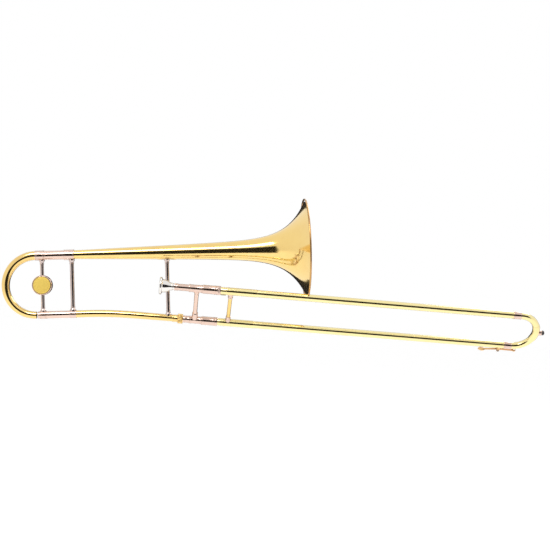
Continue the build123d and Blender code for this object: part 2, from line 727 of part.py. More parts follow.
def water_key_fixed_pieces():
    nipple = upright(tube(nipple_seat_z(), 0, key_nipple_radius, key_nipple_bore), key_nipple_x)
    nipple -= bow_torus(end_bow_radius + solder_gap)
    nipple -= rod(outer_tube_end_x, outer_tube_end_x + end_bow_straight, end_bow_radius + solder_gap)
    pivot_z = key_pivot_z()
    ear_y = key_barrel_length / 2 + 0.1
    ears = Part()
    for side in (-1, 1):
        plate = Pos(key_pivot_x, side * (ear_y + key_ear_thickness / 2), pivot_z / 2) * Box(
            5.6, key_ear_thickness, -pivot_z)
        boss = across(rod(-key_ear_thickness / 2, key_ear_thickness / 2, 2.8), key_pivot_x, pivot_z)
        ears += plate + Pos(0, side * (ear_y + key_ear_thickness / 2), 0) * boss
    base = Pos(key_pivot_x, 0, 0) * saddle(outer_tube_radius, 13, 2 * (ear_y + key_ear_thickness), -1)
    core = rod(key_pivot_x - 20, key_pivot_x + 20, outer_tube_radius + solder_gap)
    ears += base
    ears = ears - core - across(rod(-20, 20, key_screw_radius + solder_gap), key_pivot_x, pivot_z)
    ear_end = ear_y + key_ear_thickness
    screw = across(lathe((-ear_end - 1.2, 0), (-ear_end - 1.2, 2.0), (-ear_end - 0.05, 2.0),
                         (-ear_end - 0.05, key_screw_radius), (ear_end + 0.6, key_screw_radius),
                         (ear_end + 0.6, 0)), key_pivot_x, pivot_z)
    screw -= Pos(key_pivot_x, -ear_end - 1.2, pivot_z) * Box(5, 0.8, 0.5)
    screw -= Pos(key_pivot_x, ear_end + 0.6, pivot_z) * Box(5, 0.8, 0.5)
    return nipple, ears, screw


def water_key_spring():
    # Two coils of one wire, one on each side of the lever arm, round the lever's barrel.
    height = key_spring_turns * key_spring_pitch
    radius = key_barrel_radius + key_spring_wire + 0.15
    coil_path = Helix(pitch=key_spring_pitch, height=height, radius=radius)
    coil = sweep(Plane(origin=coil_path @ 0, z_dir=coil_path % 0) * Circle(key_spring_wire), path=coil_path)
    start = key_arm_width / 2 + 0.2 + key_spring_wire
    coils = Part()
    for turn in (-90, 90):
        coils += Rot(turn, 0, 0) * Pos(0, 0, start) * coil
    return Pos(key_pivot_x, 0, key_pivot_z()) * coils


def water_key_lever():
    pivot_z = key_pivot_z()
    cork_top = nipple_seat_z() - 0.05
    cup_top = cork_top - key_cork_thickness + 1.2
    cup_floor = cork_top - key_cork_thickness
    arm_z = cup_floor - key_arm_thickness
    finger_x = key_pivot_x - key_finger_reach
    finger_z = pivot_z - key_finger_drop
    half = key_arm_thickness / 2
    side_view = Polyline((finger_x, 0, finger_z - half), (key_pivot_x, 0, pivot_z - half),
                         (key_nipple_x, 0, arm_z), (key_nipple_x, 0, arm_z + 2 * half),
                         (key_pivot_x, 0, pivot_z + half), (finger_x, 0, finger_z + half), close=True)
    arm = extrude(make_face(side_view), key_arm_width / 2, both=True)
    pad = Pos(finger_x + 2, 0, finger_z - half) * extrude(Ellipse(7.5, 5), 2 * half)
    barrel = across(rod(-key_barrel_length / 2, key_barrel_length / 2, key_barrel_radius), key_pivot_x,
            pivot_z)
    cup = lathe((arm_z, 0), (arm_z, key_cork_radius + key_cup_wall - 0.5), (arm_z + 0.5,
            key_cork_radius + key_cup_wall),
                (cup_top, key_cork_radius + key_cup_wall), (cup_top, key_cork_radius + solder_gap),
                (cup_floor, key_cork_radius + solder_gap), (cup_floor, 0))
    lever = arm + pad + barrel + upright(cup, key_nipple_x)
    cork = upright(rod(cup_floor, cork_top, key_cork_radius), key_nipple_x)
    lever = lever - cork
    return lever - across(rod(-20, 20, key_screw_radius + running_gap), key_pivot_x, pivot_z), cork


def mouthpiece_receiver():
    start = mouthpiece_receiver_x
    slope = (shank_mouth_radius - shank_end_radius) / (shank_end_x - start)
    end = mouthpiece_receiver_end_x
    gap = running_gap
    step = shank_end_x + 1
    body = mouthpiece_receiver_radius
    ring = body + receiver_ring_rise
    return upper_tube * lathe(
        (start, shank_mouth_radius + gap), (step, shank_end_radius + gap - slope), (step,
            leadpipe_bore_radius),
        (end, leadpipe_bore_radius), (end, body), (start + 7, body),
        (start + 7, ring), (start + 5, ring), (start + 5, body), (start + 3, body),
        (start + 3, ring), (start, ring))


def mouthpiece():
    x = rim_face_x
    rim_back = x + rim_depth
    shoulder = x + cup_depth
    rim = ThreePointArc((x + 2.2, rim_inner_radius), (x, (rim_inner_radius + rim_outer_radius) / 2),
                        (x + 1.8, rim_outer_radius))
    outer = Polyline((x + 1.8, rim_outer_radius), (rim_back - 1, rim_outer_radius),
                     (rim_back, rim_outer_radius - 1.5), (rim_back + 0.8, cup_body_radius + 0.4))
    bowl_outer = Spline((rim_back + 0.8, cup_body_radius + 0.4), (x + 0.55 * cup_depth,
            cup_body_radius - 1.6),
                        (x + 0.8 * cup_depth, cup_body_radius - 5.2), (shoulder + 2,
                            shank_mouth_radius + 0.35))
    shank = Polyline((shoulder + 2, shank_mouth_radius + 0.35), (mouthpiece_receiver_x - 1,
            shank_mouth_radius + 0.35),
                     (mouthpiece_receiver_x - 0.5, shank_mouth_radius), (shank_end_x, shank_end_radius),
                     (shank_end_x, backbore_end_radius), (shoulder + 6, throat_radius), (shoulder,
                         throat_radius))
    bowl_inner = Spline((shoulder, throat_radius), (x + 0.75 * cup_depth, throat_radius + 3.2),
                        (x + 0.4 * cup_depth, rim_inner_radius - 2.2), (x + 2.2, rim_inner_radius))
    return upper_tube * revolve(make_face([rim, outer, bowl_outer, shank, bowl_inner]), Axis.X, 360)


def brace_sleeves():
    lower = beaded_sleeve(lower_sleeve_start_x, lower_barrel_start_x, brace_sleeve_radius,
            inner_tube_radius)
    upper = beaded_sleeve(upper_sleeve_start_x, upper_barrel_start_x, brace_sleeve_radius,
            inner_tube_radius)
    upper -= rod(upper_sleeve_start_x - 1, mouthpiece_receiver_end_x,
            mouthpiece_receiver_radius + solder_gap)
    return lower, upper_tube * upper


def build_bell_section():
    stem, flare, wire = bell_pieces()
    upper_sleeve, lower_sleeve = tuning_sleeves()
    neck_bar, neck_flanges = neck_brace()
    bell_bar, bell_flanges = bell_brace()
    return {
        "bell_stem": neck_frame * stem,
        "bell_flare": neck_frame * flare,
        "bell_rim_wire": neck_frame * wire,
        "bell_tail_ferrule": neck_frame * bell_tail_ferrule(),
        "upper_tuning_sleeve": neck_frame * upper_sleeve,
        "lower_tuning_sleeve": neck_frame * lower_sleeve,
        "neck_ferrule": neck_frame * neck_ferrule(),
        "gooseneck": gooseneck(),
        "neck_brace": neck_frame * neck_bar,
        "neck_brace_flanges": neck_frame * neck_flanges,
        "bell_brace": bell_bar,
        "bell_brace_flanges": bell_flanges,
        "bell_receiver": bell_receiver(),
    }


def build_tuning_slide():
    upper_ferrule, lower_ferrule, upper_leg, lower_leg = tuning_slide_pieces()
    bar, flanges = tuning_brace()
    front, back, cap, screws = counterweight()
    pieces = {
        "tuning_bow": tuning_bow(),
        "upper_bow_ferrule": upper_ferrule,
        "lower_bow_ferrule": lower_ferrule,
        "upper_tuning_leg": upper_leg,
        "lower_tuning_leg": lower_leg,
        "tuning_brace": bar,
        "tuning_brace_flanges": flanges,
        "counterweight_front": front,
        "counterweight_back": back,
        "counterweight_cap": cap,
        "counterweight_screws": screws,
    }
    return {name: neck_frame * piece for name, piece in pieces.items()}


def build_inner_slide():
    lower, upper, lower_stocking, upper_stocking, leadpipe = slide_inner_tubes()
    lower_sleeve, upper_sleeve = brace_sleeves()
    lower_barrel, upper_barrel = cork_barrels()
    bar, ferrules = slide_brace(inner_brace_x, brace_sleeve_radius, inner_brace_radius, inner_foot_radius,
                                (True, False))
    return {
        "slide_tenon": slide_tenon(),
        "lower_inner_tube": lower,
        "upper_inner_tube": upper,
        "lower_stocking": lower_stocking,
        "upper_stocking": upper_stocking,
        "leadpipe": leadpipe,
        "mouthpiece_receiver": mouthpiece_receiver(),
        "lower_brace_sleeve": lower_sleeve,
        "upper_brace_sleeve": upper_sleeve,
        "lower_cork_barrel": lower_barrel,
        "upper_cork_barrel": upper_barrel,
        "slide_felts": slide_felts(),
        "inner_brace": bar,
        "inner_brace_ferrule": ferrules,
        "bell_lock_nut": bell_lock_nut(),
        "slide_lock_ring": slide_lock_ring(),
        "mouthpiece": mouthpiece(),
    }


def build_outer_slide():
    lower, upper = outer_tubes()
    bar, ferrules = slide_brace(outer_brace_x, grip_sleeve_radius, outer_brace_radius, outer_foot_radius,
                                (True, True))
    socket, rubber = bumper()
    nipple, ears, screw = water_key_fixed_pieces()
    lever, cork = water_key_lever()
    return {
        "lower_outer_tube": lower,
        "upper_outer_tube": upper,
        "lower_grip_sleeve": grip_sleeve(lower_grip_start_x),
        "upper_grip_sleeve": upper_tube * grip_sleeve(upper_grip_start_x),
        "slide_lock_pin": slide_lock_pin(),
        "outer_brace": bar,
        "outer_brace_ferrules": ferrules,
        "bow_ferrules": bow_ferrules(),
        "end_bow": end_bow(),
        "bow_guard": bow_guard(),
        "bumper_socket": socket,
        "rubber_bumper": rubber,
        "water_key_nipple": nipple,
        "water_key_saddle": ears,
        "water_key_screw": screw,
        "water_key_spring": water_key_spring(),
        "water_key_lever": lever,
        "water_key_cork": cork,
    }


os.makedirs("parts", exist_ok=True)
nodes = build_bell_section()
nodes.update(build_tuning_slide())
slide = build_inner_slide()
slide.update(build_outer_slide())
slide_frame = Location((0, 0, 0), (slide_swivel(), 0, 0))
nodes.update({name: slide_frame * piece for name, piece in slide.items()})
for name, piece in nodes.items():
    export_step(piece, f"parts/{name}.step")
print(len(nodes), "nodes written")
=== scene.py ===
import json
import math
import bpy
import bmesh
from mathutils import Matrix, Vector


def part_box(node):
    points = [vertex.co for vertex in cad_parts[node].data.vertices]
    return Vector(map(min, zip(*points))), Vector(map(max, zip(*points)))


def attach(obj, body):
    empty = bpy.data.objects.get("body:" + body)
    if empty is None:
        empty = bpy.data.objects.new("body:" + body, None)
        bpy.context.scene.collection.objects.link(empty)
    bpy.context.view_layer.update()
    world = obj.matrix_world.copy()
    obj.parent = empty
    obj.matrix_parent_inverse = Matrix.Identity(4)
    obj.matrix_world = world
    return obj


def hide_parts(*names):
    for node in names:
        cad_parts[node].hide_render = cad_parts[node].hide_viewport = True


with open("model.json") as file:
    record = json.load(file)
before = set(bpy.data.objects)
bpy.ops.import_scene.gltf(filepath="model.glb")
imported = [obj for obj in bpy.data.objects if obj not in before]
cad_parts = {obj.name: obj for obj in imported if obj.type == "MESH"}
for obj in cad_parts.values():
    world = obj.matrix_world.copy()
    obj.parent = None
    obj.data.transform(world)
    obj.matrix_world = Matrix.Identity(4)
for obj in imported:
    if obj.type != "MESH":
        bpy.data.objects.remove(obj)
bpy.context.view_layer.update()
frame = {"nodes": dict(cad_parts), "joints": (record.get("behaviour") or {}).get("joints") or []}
print("frame loaded")


# the two lines the instrument is built on
layout = {
    "neckCorner": -0.150,     # where the neck line meets the slide line
    "bellHeight": 0.126,      # bell axis above the neck line
    "slideSpacing": 0.086,    # between the two slide tubes
    "roundSegments": 96,
    "smallSegments": 56,
}
mm = 0.001
jointNamed = {joint["name"]: joint for joint in frame["joints"]}
pullAxis = jointNamed["tuning_pull"]["axis"]
keyAxis = jointNamed["water_key_press"]["axis"]
neckTilt = math.atan2(-pullAxis[2], -pullAxis[0])
slideTurn = math.atan2(keyAxis[2], keyAxis[1])
neckFrame = Matrix.Translation((layout["neckCorner"], 0, 0)) @ Matrix.Rotation(-neckTilt, 4, "Y")
slideFrame = Matrix.Rotation(slideTurn, 4, "X")
bellFrame = neckFrame @ Matrix.Translation((0, 0, layout["bellHeight"]))
upperFrame = slideFrame @ Matrix.Translation((0, 0, layout["slideSpacing"]))


def spanX(node):
    # where a slide piece starts and ends along the slide, in millimetres
    low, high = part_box(node)
    return low.x / mm, high.x / mm


# mesh helpers
def finishMesh(name, verts, faces, place, sharpAngle=38):
    mesh = bpy.data.meshes.new(name)
    mesh.from_pydata([tuple(v) for v in verts], [], faces)
    tidy = bmesh.new()
    tidy.from_mesh(mesh)
    bmesh.ops.remove_doubles(tidy, verts=tidy.verts, dist=1e-7)
    bmesh.ops.recalc_face_normals(tidy, faces=tidy.faces)
    tidy.to_mesh(mesh)
    tidy.free()
    mesh.shade_smooth()
    mesh.set_sharp_from_angle(angle=math.radians(sharpAngle))
    piece = bpy.data.objects.new(name, mesh)
    bpy.context.scene.collection.objects.link(piece)
    piece.matrix_world = place
    return piece


def joinRings(name, rings, place, closed, sharpAngle=38):
    count = len(rings[0])
    verts = [v for ring in rings for v in ring]
    faces = []
    last = len(rings) if closed else len(rings) - 1
    for i in range(last):
        a, b = i * count, ((i + 1) % len(rings)) * count
        for k in range(count):
            n = (k + 1) % count
            faces.append((a + k, a + n, b + n, b + k))
    return finishMesh(name, verts, faces, place, sharpAngle)


def softened(points, radius, closed=False, steps=3):
    # rounds the corners of an outline so that edges catch light
    made = []
    count = len(points)
    for i, point in enumerate(points):
        if not closed and i in (0, count - 1):
            made.append(point)
            continue
        p = Vector(point)
        before, after = Vector(points[i - 1]) - p, Vector(points[(i + 1) % count]) - p
        if before.length < 1e-6 or after.length < 1e-6 or p.y <= 0:
            made.append(point)
            continue
        if math.degrees(before.angle(after)) > 158:
            made.append(point)
            continue
        cut = min(radius, before.length * 0.45, after.length * 0.45)
        start, end = p + before.normalized() * cut, p + after.normalized() * cut
        for s in range(steps + 1):
            t = s / steps
            curve = start * (1 - t) ** 2 + p * 2 * t * (1 - t) + end * t ** 2
            made.append((curve.x, curve.y))
    return made


def turned(name, outline, place, closed=False, soft=0.25, segments=None, ripple=None):
    # a lathe along local X; outline is (along, radius) in millimetres
    segments = segments or layout["roundSegments"]
    outline = softened(outline, soft, closed)
    rings = []
    for along, radius in outline:
        ring = []
        for k in range(segments):
            angle = 2 * math.pi * k / segments
            r = radius if ripple is None else ripple(along, radius, angle)
            ring.append(Vector((along, r * math.cos(angle), r * math.sin(angle))) * mm)
        rings.append(ring)
    return joinRings(name, rings, place, closed)


def hollow(name, outer, bore, place, **more):
    # outer and bore both run from left to right
    return turned(name, outer + bore[::-1], place, closed=True, **more)


def plainTube(name, start, end, radius, bore, place, soft=0.12):
    outer = [(start, radius), (end, radius)]
    return hollow(name, outer, [(start, bore), (end, bore)], place, soft=soft)


def bentTube(name, path, radii, wall, place, segments=None):
    # a tube along a path in the local XZ plane, in millimetres
    segments = segments or layout["roundSegments"]
    outerRings, boreRings = [], []
    for i, (x, z) in enumerate(path):
        before, after = path[max(i - 1, 0)], path[min(i + 1, len(path) - 1)]
        heading = Vector((after[0] - before[0], 0, after[1] - before[1])).normalized()
        side = Vector((-heading.z, 0, heading.x))
        outerRing, boreRing = [], []
        for k in range(segments):
            angle = 2 * math.pi * k / segments
            spoke = side * math.cos(angle) + Vector((0, 1, 0)) * math.sin(angle)
            centre = Vector((x, 0, z))
            outerRing.append(place @ ((centre + spoke * radii[i]) * mm))
            boreRing.append(place @ ((centre + spoke * (radii[i] - wall)) * mm))
        outerRings.append(outerRing)
        boreRings.append(boreRing)
    return joinRings(name, outerRings + boreRings[::-1], Matrix(), True)


def spar(name, base, along, lowEnd, highEnd, lowSeat, highSeat, profile, segments=64):
    # a brace standing across two tubes: its first and last rings follow the tubes' round sides
    # lowEnd and highEnd are the tubes' axis heights, the seats are their radii, in millimetres
    rings = []
    low, high = lowEnd + lowSeat, highEnd - highSeat
    for share, radius, isSeat in profile:
        ring = []
        for k in range(segments):
            angle = 2 * math.pi * k / segments
            x, y = radius * math.cos(angle), radius * math.sin(angle)
            if isSeat == "low":
                height = lowEnd + math.sqrt(lowSeat ** 2 - y ** 2) - 0.12
            elif isSeat == "high":
                height = highEnd - math.sqrt(highSeat ** 2 - y ** 2) + 0.12
            else:
                height = low + share if share >= 0 else high + share
            ring.append(Vector((along + x, y, height)) * mm)
        rings.append(ring)
    return joinRings(name, rings, base, False)


def saddle(name, base, along, axisHeight, tubeRadius, side, length, width, thick, diamond=False):
    # a soldered foot plate bent round the tube, domed to a thin edge
    rings, segments = [], 72
    shares = (0.02, 0.35, 0.6, 0.8, 0.92, 0.98, 1.0, 1.0)
    heights = (1.0, 1.0, 1.0, 1.0, 0.98, 0.85, 0.55, -0.3)
    for share, rise in zip(shares, heights):
        ring = []
        for k in range(segments):
            angle = 2 * math.pi * k / segments
            c, s = math.cos(angle), math.sin(angle)
            power = 1.25 if diamond else 1.0
            a = share * length / 2 * math.copysign(abs(c) ** power, c)
            arc = share * width / 2 * math.copysign(abs(s) ** power, s)
            radius = tubeRadius(along + a) if callable(tubeRadius) else tubeRadius
            r = radius + thick * rise
            turn = arc / radius
            ring.append(Vector((along + a, r * math.sin(turn),
                axisHeight + side * r * math.cos(turn))) * mm)
        rings.append(ring)
    return joinRings(name, rings, base, False)


# node helpers and shared effects
def newGroup(name, inputs, outputs):
    group = bpy.data.node_groups.new(name, "ShaderNodeTree")
    for socketName, default in inputs:
        socket = group.interface.new_socket(socketName, in_out="INPUT", socket_type="NodeSocketFloat")
        socket.default_value = default
    for socketName in outputs:
        group.interface.new_socket(socketName, in_out="OUTPUT", socket_type="NodeSocketFloat")
    return group, group.nodes.new("NodeGroupInput"), group.nodes.new("NodeGroupOutput")


def addMath(tree, operation, first, second):
    node = tree.nodes.new("ShaderNodeMath")
    node.operation = operation
    for socket, value in zip(node.inputs, (first, second)):
        if isinstance(value, (int, float)):
            socket.default_value = value
        else:
            tree.links.new(value, socket)
    return node.outputs[0]


def addNoise(tree, vector, scale, detail, rough=0.55):
    node = tree.nodes.new("ShaderNodeTexNoise")
    node.inputs["Detail"].default_value = detail
    node.inputs["Roughness"].default_value = rough
    tree.links.new(vector, node.inputs["Vector"])
    if isinstance(scale, (int, float)):
        node.inputs["Scale"].default_value = scale
    else:
        tree.links.new(scale, node.inputs["Scale"])
    return node.outputs["Fac"]


def addRange(tree, value, low, high):
    node = tree.nodes.new("ShaderNodeMapRange")
    tree.links.new(value, node.inputs["Value"])
    node.inputs["From Min"].default_value = low
    node.inputs["From Max"].default_value = high
    return node.outputs["Result"]


def stretched(tree, along, around, turn=0.0):
    # object coordinates pulled out along or round the tube
    place = tree.nodes.new("ShaderNodeTexCoord").outputs["Object"]
    if turn:
        rotate = tree.nodes.new("ShaderNodeVectorRotate")
        rotate.rotation_type = "EULER_XYZ"
        rotate.inputs["Rotation"].default_value = (turn, turn * 0.7, turn * 1.3)
        tree.links.new(place, rotate.inputs["Vector"])
        place = rotate.outputs[0]
    sizes = tree.nodes.new("ShaderNodeCombineXYZ")
    for index, value in enumerate((along, around, around)):
        if isinstance(value, (int, float)):
            sizes.inputs[index].default_value = value
        else:
            tree.links.new(value, sizes.inputs[index])
    product = tree.nodes.new("ShaderNodeVectorMath")
    product.operation = "MULTIPLY"
    tree.links.new(place, product.inputs[0])
    tree.links.new(sizes.outputs[0], product.inputs[1])
    return product.outputs[0]


def buildHandlingMarks():
    # cloth haze and fingertip smudges left on a polished surface
    group, entry, out = newGroup("handlingMarks", (("Size", 30.0), ("Strength", 1.0)), ("Marks",))
    place = stretched(group, 1.0, 1.0)
    haze = addRange(group, addNoise(group, place, entry.outputs["Size"], 6), 0.42, 0.72)
    patch = addRange(group, addNoise(group, place, 9.0, 3), 0.40, 0.66)
    marks = addMath(group, "MULTIPLY", haze, patch)
    group.links.new(addMath(group, "MULTIPLY", marks, entry.outputs["Strength"]), out.inputs["Marks"])
    return group


def buildToolLines():
    # fine lines from drawing or turning: a high Along gives rings, a high Around gives lengthwise lines
    group, entry, out = newGroup("toolLines", (("Along", 40.0), ("Around", 900.0)), ("Lines",))
    place = stretched(group, entry.outputs["Along"], entry.outputs["Around"])
    group.links.new(addNoise(group, place, 1.0, 4, 0.6), out.inputs["Lines"])
    return group


def buildFineScratches():
    group, entry, out = newGroup("fineScratches", (("Density", 0.5),), ("Scratches",))
    total = None
    for turn in (0.3, 1.1, 2.2):
        line = addNoise(group, stretched(group, 16.0, 1300.0, turn), 1.0, 1)
        thin = addRange(group, line, 0.70, 0.78)
        total = thin if total is None else addMath(group, "MAXIMUM", total, thin)
    broken = addRange(group, addNoise(group, stretched(group, 1.0, 1.0), 55.0, 2), 0.45, 0.6)
    total = addMath(group, "MULTIPLY", total, broken)
    group.links.new(addMath(group, "MULTIPLY", total, entry.outputs["Density"]), out.inputs["Scratches"])
    return group


def buildTarnish():
    group, entry, out = newGroup("tarnish", (("Size", 14.0), ("Strength", 0.4)), ("Tarnish", "Freckles"))
    place = stretched(group, 1.0, 1.0)
    bloom = addRange(group, addNoise(group, place, entry.outputs["Size"], 8, 0.65), 0.45, 0.8)
    group.links.new(addMath(group, "MULTIPLY", bloom, entry.outputs["Strength"]), out.inputs["Tarnish"])
    freckles = addRange(group, addNoise(group, place, 700.0, 2), 0.74, 0.80)
    freckles = addMath(group, "MULTIPLY", freckles, entry.outputs["Strength"])
    group.links.new(freckles, out.inputs["Freckles"])
    return group


def buildEdgeWear():
    group, entry, out = newGroup("edgeWear", (("Strength", 0.5),), ("Wear",))
    geometry = group.nodes.new("ShaderNodeNewGeometry")
    edge = addRange(group, geometry.outputs["Pointiness"], 0.53, 0.60)
    rubbed = addRange(group, addNoise(group, stretched(group, 1.0, 1.0), 260.0, 4), 0.35, 0.6)
    wear = addMath(group, "MULTIPLY", edge, rubbed)
    group.links.new(addMath(group, "MULTIPLY", wear, entry.outputs["Strength"]), out.inputs["Wear"])
    return group


handlingMarks = buildHandlingMarks()
toolLines = buildToolLines()
fineScratches = buildFineScratches()
tarnish = buildTarnish()
edgeWear = buildEdgeWear()
print("shared effects built")


def paint(red, green, blue):
    # screen colour to linear
    def one(value):
        value /= 255
        return value / 12.92 if value <= 0.04045 else ((value + 0.055) / 1.055) ** 2.4
    return (one(red), one(green), one(blue), 1.0)


def placeGroup(tree, group, **values):
    node = tree.nodes.new("ShaderNodeGroup")
    node.node_tree = group
    for key, value in values.items():
        node.inputs[key].default_value = value
    return node


def blendColour(tree, mask, first, second):
    node = tree.nodes.new("ShaderNodeMix")
    node.data_type = "RGBA"
    tree.links.new(mask, node.inputs[0])
    for socket, value in ((node.inputs[6], first), (node.inputs[7], second)):
        if isinstance(value, tuple):
            socket.default_value = value
        else:
            tree.links.new(value, socket)
    return node.outputs[2]


metals = {
    "bellLacquer": dict(colour=(244, 211, 132), aged=(216, 168, 88), worn=(250, 222, 165), rough=0.085,
                        haze=0.10, coat=0.6, along=900, around=26, lines=0.010, tarnish=0.28,
                            slot="lacquered_brass"),
    "tubeLacquer": dict(colour=(242, 208, 130), aged=(214, 166, 86), worn=(250, 222, 165), rough=0.09,
                        haze=0.11, coat=0.6, along=30, around=900, lines=0.012, tarnish=0.32,
                            slot="lacquered_brass"),
    # the outer slide's lacquered brass: its own brass tone, made paler and whiter than the bell's by a
    # painted highlight laid into the base colour
    "slideLacquerWithPaintedHighlight": dict(colour=(246, 230, 166), aged=(216, 180, 102), worn=(252, 236, 190), rough=0.10,
                         haze=0.13, coat=0.5, along=18, around=1000, lines=0.016, tarnish=0.24,
                             slot="lacquered_brass"),
    "turnedLacquer": dict(colour=(242, 208, 134), aged=(190, 136, 66), worn=(252, 230, 180), rough=0.12,
                          haze=0.10, coat=0.5, along=1500, around=20, lines=0.030, tarnish=0.35,
                              slot="lacquered_brass"),
    "nickelPolish": dict(colour=(226, 199, 184), aged=(164, 132, 114), worn=(250, 238, 230), rough=0.10,
                         haze=0.12, coat=0.0, along=1400, around=20, lines=0.020, tarnish=0.30,
                             slot="nickel_silver"),
    "nickelDrawn": dict(colour=(230, 202, 186), aged=(168, 134, 114), worn=(250, 238, 230), rough=0.10,
                        haze=0.12, coat=0.0, along=22, around=1000, lines=0.018, tarnish=0.26,
                            slot="nickel_silver"),
    "bracePlate": dict(colour=(208, 192, 186), aged=(140, 120, 112), worn=(246, 240, 236), rough=0.11,
                       haze=0.14, coat=0.0, along=1100, around=30, lines=0.020, tarnish=0.30,
                           slot="brace_plate"),
    "silverPlate": dict(colour=(232, 229, 224), aged=(170, 150, 120), worn=(250, 248, 244), rough=0.07,
                        haze=0.10, coat=0.0, along=900, around=30, lines=0.012, tarnish=0.22,
                            slot="silver_plate"),
    "drawnBrass": dict(colour=(206, 158, 96), aged=(120, 80, 44), worn=(236, 200, 140), rough=0.17,
                       haze=0.16, coat=0.2, along=60, around=900, lines=0.030, tarnish=0.55,
                           slot="drawn_brass"),
    "weightFace": dict(colour=(240, 208, 100), aged=(204, 160, 62), worn=(252, 232, 160), rough=0.46,
            metallic=0.35,
                       haze=0.12, coat=0.0, along=700, around=700, lines=0.050, tarnish=0.25,
                           slot="weight_face"),
    "springSteel": dict(colour=(188, 184, 180), aged=(110, 90, 72), worn=(226, 224, 222), rough=0.22,
                        haze=0.14, coat=0.0, along=900, around=60, lines=0.030, tarnish=0.40,
                            slot="spring_steel"),
    # a dark olive-grey colour for the slide lock pin
    "lockPinDarkOlive": dict(colour=(112, 104, 78), aged=(70, 60, 44), worn=(176, 168, 140), rough=0.30,
                      haze=0.16, coat=0.0, along=500, around=100, lines=0.040, tarnish=0.50,
                          slot="lock_steel"),
    "keyBrass": dict(colour=(206, 156, 104), aged=(130, 84, 52), worn=(240, 208, 150), rough=0.16,
                     haze=0.14, coat=0.3, along=300, around=300, lines=0.025, tarnish=0.55,
                         slot="lacquered_brass"),
}


def buildMetal(name, look):
    material = bpy.data.materials.new(name)
    material.use_nodes = True
    tree = material.node_tree
    shader = tree.nodes["Principled BSDF"]
    shader.inputs["Metallic"].default_value = look.get("metallic", 1.0)
    shader.inputs["Coat Weight"].default_value = look["coat"]
    shader.inputs["Coat Roughness"].default_value = 0.05
    marks = placeGroup(tree, handlingMarks, Size=38.0, Strength=1.0)
    lines = placeGroup(tree, toolLines, Along=look["along"], Around=look["around"])
    scratches = placeGroup(tree, fineScratches, Density=0.6)
    aged = placeGroup(tree, tarnish, Size=16.0, Strength=look["tarnish"])
    wear = placeGroup(tree, edgeWear, Strength=0.6)
    base = blendColour(tree, aged.outputs["Tarnish"], paint(*look["colour"]), paint(*look["aged"]))
    base = blendColour(tree, aged.outputs["Freckles"], base, paint(*look["aged"]))
    base = blendColour(tree, wear.outputs["Wear"], base, paint(*look["worn"]))
    tree.links.new(base, shader.inputs["Base Color"])
    rough = addMath(tree, "MULTIPLY", marks.outputs["Marks"], look["haze"])
    rough = addMath(tree, "ADD", rough, look["rough"])
    scratchRough = addMath(tree, "MULTIPLY", scratches.outputs["Scratches"], 0.16)
    lineRough = addMath(tree, "MULTIPLY", lines.outputs["Lines"], look["lines"] * 2)
    rough = addMath(tree, "ADD", rough, scratchRough)
    tree.links.new(addMath(tree, "ADD", rough, lineRough), shader.inputs["Roughness"])
    height = addMath(tree, "MULTIPLY", lines.outputs["Lines"], look["lines"])
    height = addMath(tree, "SUBTRACT", height, addMath(tree, "MULTIPLY", scratches.outputs["Scratches"],
            0.03))
    bump = tree.nodes.new("ShaderNodeBump")
    bump.inputs["Strength"].default_value = 0.5
    bump.inputs["Distance"].default_value = 0.0002
    tree.links.new(height, bump.inputs["Height"])
    tree.links.new(bump.outputs["Normal"], shader.inputs["Normal"])
    return material


softStuffs = {
    "bumperRubber": dict(colour=(58, 56, 56), aged=(92, 88, 84), rough=0.62, size=300, depth=0.5,
            slot="bumper_rubber"),
    "feltRed": dict(colour=(126, 44, 44), aged=(168, 92, 84), rough=0.95, size=900, depth=1.0, slot="felt"),
    "keyCork": dict(colour=(190, 142, 92), aged=(112, 72, 42), rough=0.88, size=650, depth=0.9,
            slot="cork"),
}


def buildSoft(name, look):
    material = bpy.data.materials.new(name)
    material.use_nodes = True
    tree = material.node_tree
    shader = tree.nodes["Principled BSDF"]
    place = stretched(tree, 1.0, 1.0)
    speckle = addNoise(tree, place, look["size"], 6)
    patch = addNoise(tree, place, look["size"] * 0.2, 3)
    mask = addMath(tree, "MULTIPLY", addRange(tree, speckle, 0.42, 0.7), addRange(tree, patch, 0.3, 0.7))
    base = blendColour(tree, mask, paint(*look["colour"]), paint(*look["aged"]))
    tree.links.new(base, shader.inputs["Base Color"])
    rough = addMath(tree, "MULTIPLY", speckle, 0.12)
    tree.links.new(addMath(tree, "ADD", rough, look["rough"] - 0.06), shader.inputs["Roughness"])
    bump = tree.nodes.new("ShaderNodeBump")
    bump.inputs["Strength"].default_value = look["depth"]
    bump.inputs["Distance"].default_value = 0.0002
    tree.links.new(speckle, bump.inputs["Height"])
    tree.links.new(bump.outputs["Normal"], shader.inputs["Normal"])
    return material


finishes = {name: buildMetal(name, look) for name, look in metals.items()}
finishes.update({name: buildSoft(name, look) for name, look in softStuffs.items()})
print("finishes built:", len(finishes))


def fit(piece, finish, body, *nodes):
    # gives a piece its finish and its body, and hides the CAD nodes it stands for
    piece.data.materials.append(finishes[finish])
    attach(piece, body)
    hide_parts(*nodes)
    return piece


# bell
bell = {
    "tail": -88, "join": 300, "mouth": 424,
    "smallRadius": 8.67, "taper": 0.029, "flareRise": 82.2, "flareLength": 38.5,
    "wall": 0.5, "beadRadius": 1.9, "beadSize": 106.39, "rings": 150,
}


def bellRadius(u):
    d = bell["mouth"] - u
    return (bell["smallRadius"] + bell["taper"] * (512 - d)
            + bell["flareRise"] * math.exp(-d / bell["flareLength"]))


def bellPart(name, start, end, count):
    stations = [start + (end - start) * i / count for i in range(count + 1)]
    outer = [(u, bellRadius(u)) for u in stations]
    bore = [(u, bellRadius(u) - bell["wall"]) for u in stations]
    return hollow(name, outer, bore, bellFrame, soft=0, segments=160)


def softRing(centre, radius, size, steps=20):
    # the outline of a round bead
    return [(centre + radius * math.cos(2 * math.pi * i / steps),
            size + radius * math.sin(2 * math.pi * i / steps))
            for i in range(steps)]


